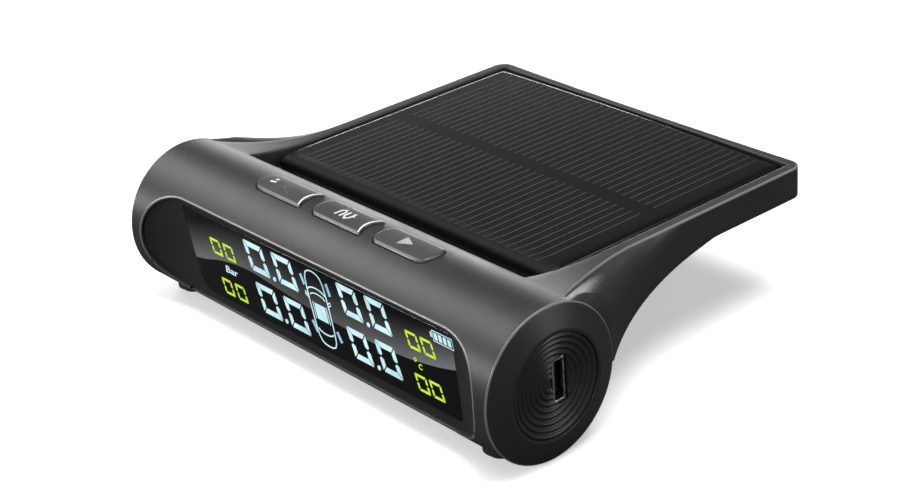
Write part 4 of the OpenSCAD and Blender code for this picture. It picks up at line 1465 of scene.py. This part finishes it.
def buildCap(side):
    shape = capShape
    bm = bmesh.new()
    rings = []
    for point in capProfile():
        rings.append([Vector((side * point.x, z, barrel["axisZ"] + y))
                      for y, z in circlePoints(0, 0, point.y, shape["segments"])])
    addRings(bm, rings)
    hand = "right" if side > 0 else "left"
    cap = closedObject("endCap_" + hand, bm)
    if side > 0:
        halfY, halfZ, midY, midZ = shape["slot"]
        bm = bmesh.new()
        ring = roundedRing(halfY, halfZ, [0.5] * 4, 0, 6)
        addRings(bm, [[Vector((x, y + midY, z + midZ)) for y, z in ring] for x in (40, 52)])
        cutWith(cap, closedObject("slotCut", bm))
    # faces on the rim's rounded edge get the painted highlight finish
    for polygon in cap.data.polygons:
        middle = polygon.center / mm
        out = math.hypot(middle.y, middle.z - barrel["axisZ"])
        polygon.material_index = int(abs(middle.x) > barrel["half"] + 0.08 and out > barrel["radius"] - 0.2)
    return dress(cap, "housing", finishes["capPlastic"], [hand + "_end_cap"], 50,
                 finishes["paintedHighlightPlastic"])


for side in (-1, 1):
    buildCap(side)
print("end caps built")

# finishes on the inner parts
innerFinish = {
    "displayGlass": "display_panel", "guidePlastic": "light_guide", "whitePlastic": "display_holder",
    "platedSteel": "display_pins timing_crystal battery_tabs base_screw_set wing_screw_set board_screw_set",
    "lampPhosphor": "backlight_lamps", "greenBoard": "main_board key_board", "copperWire": "antenna_coil",
    "moulding": "controller_chip receiver_chip charger_chip buzzer usb_tongue "
                "switch_back switch_set switch_next",
    "goldFlash": "motion_sensor board_link", "portSteel": "usb_socket", "cellSleeve": "battery_cell",
    "nylon": "battery_plug", "leadSleeve": "battery_leads solar_leads", "blackBoard": "solar_board",
    "plungerPlastic": "plunger_back plunger_set plunger_next",
    "solarResin": "solar_cell_front solar_cell_rear",
}
bevelWidth = {"usb_socket": 0.12, "display_pins": 0.04, "antenna_coil": 0, "battery_leads": 0,
              "solar_leads": 0, "usb_tongue": 0.06, "board_link": 0.05, "solar_cell_front": 0.04,
              "solar_cell_rear": 0.04}


def dressInner(node, finish):
    piece = bpy.data.objects[node]
    piece.data.materials.clear()
    piece.data.materials.append(finishes[finish])
    width = bevelWidth.get(node, 0.1)
    if width:
        weld = piece.modifiers.new("weld", "WELD")
        weld.merge_threshold = 0.0005 * mm
        bevel = piece.modifiers.new("bevel", "BEVEL")
        bevel.width = width * mm
        bevel.segments = 2
        bevel.limit_method = "ANGLE"
        bevel.angle_limit = math.radians(40)


for finish, nodes in innerFinish.items():
    for node in nodes.split():
        dressInner(node, finish)
print("inner parts dressed")

# camera, lights, floor
view = {"azimuth": 50.93, "elevation": 26.08, "roll": -4.26, "distance": 358.18, "lens": 82.35,
        "target": (-6.02, 25.59, 8.33)}


def addCamera():
    a, e, r = (math.radians(view[k]) for k in ("azimuth", "elevation", "roll"))
    back = Vector((math.sin(a) * math.cos(e), -math.cos(a) * math.cos(e), math.sin(e)))
    right = (-back).cross(Vector((0, 0, 1))).normalized()
    up = right.cross(-back)
    across = right * math.cos(r) + up * math.sin(r)
    above = up * math.cos(r) - right * math.sin(r)
    camera = bpy.data.objects.new("camera", bpy.data.cameras.new("camera"))
    camera.data.lens = view["lens"]
    camera.data.sensor_width = 36
    camera.data.clip_start = 0.01
    camera.data.clip_end = 20
    turn = Matrix((across, above, back)).transposed().to_4x4()
    spot = (Vector(view["target"]) + back * view["distance"]) * mm
    camera.matrix_world = Matrix.Translation(spot) @ turn
    scene.collection.objects.link(camera)
    scene.camera = camera


lights = {   # place, aim, width, height and power
    "bandPanel": ((-0.55, -0.12, 0.52), (0, 0.0, 0.01), 0.42, 0.3, 2.1),
    "topPanel": ((0.15, 0.1, 1.1), (0, 0.02, 0.01), 0.7, 0.7, 13),
    "sidePanel": ((0.62, 0.42, 0.28), (0.03, 0.03, 0.01), 0.22, 0.4, 1.2),
    "lipPanel": ((-0.6, -0.58, 0.2), (-0.01, 0, 0.02), 0.16, 0.1, 2.2),
    "rearPanel": ((-0.8, 0.62, 0.07), (0, 0.03, 0.02), 0.5, 0.1, 1.6),
    "frontPanel": ((0.1, -0.8, 0.35), (0, 0, 0.01), 0.5, 0.2, 2.5),
}
floorLook = {"span": 3.0, "steps": 40, "drop": 0.0002, "pale": 0.9, "paler": 0.94, "unseen": 0.08,
             "glow": 0.42, "world": 0.11}


def addLight(name, spot, aim, width, height, power):
    data = bpy.data.lights.new(name, "AREA")
    data.shape = "RECTANGLE"
    data.size, data.size_y = width, height
    data.energy = power
    lamp = bpy.data.objects.new(name, data)
    lamp.location = spot
    lamp.rotation_mode = "QUATERNION"
    lamp.rotation_quaternion = (Vector(spot) - Vector(aim)).to_track_quat("Z", "Y")
    scene.collection.objects.link(lamp)


def addStage():
    look = floorLook
    bm = bmesh.new()
    places = [look["span"] * (2 * k / look["steps"] - 1) / mm for k in range(look["steps"] + 1)]
    addGrid(bm, [[Vector((x, y, 0)) for x in places] for y in places], (0, 0, 1))
    floor = newObject("floor", bm)
    floor.location.z = -look["drop"]
    material, tree, shader = startMaterial("paleFloor", {"Roughness": 0.9, "Specular IOR Level": 0.0})
    place = placeVector(tree)
    cloud = spread(tree, noiseNode(tree, place, 3.0, 2.0), 0.3, 0.7)
    seen = tree.nodes.new("ShaderNodeLightPath").outputs["Is Camera Ray"]
    pale = mixColour(tree, cloud, [look["pale"]] * 3, [look["paler"]] * 3)
    feed(tree, shader, mixColour(tree, seen, [look["unseen"]] * 3, pale))
    shader.inputs["Emission Strength"].default_value = 1.0
    tree.links.new(mixColour(tree, seen, (0, 0, 0), [look["glow"]] * 3), shader.inputs["Emission Color"])
    floor.data.materials.append(material)
    world = bpy.data.worlds.new("studio")
    world.use_nodes = True
    sky = world.node_tree.nodes["Background"].inputs
    sky["Color"].default_value = (1, 1, 1, 1)
    sky["Strength"].default_value = look["world"]
    scene.world = world
    scene.view_settings.view_transform = "Standard"


addCamera()
addStage()
for name, light in lights.items():
    addLight(name, *light)
print("stage set")
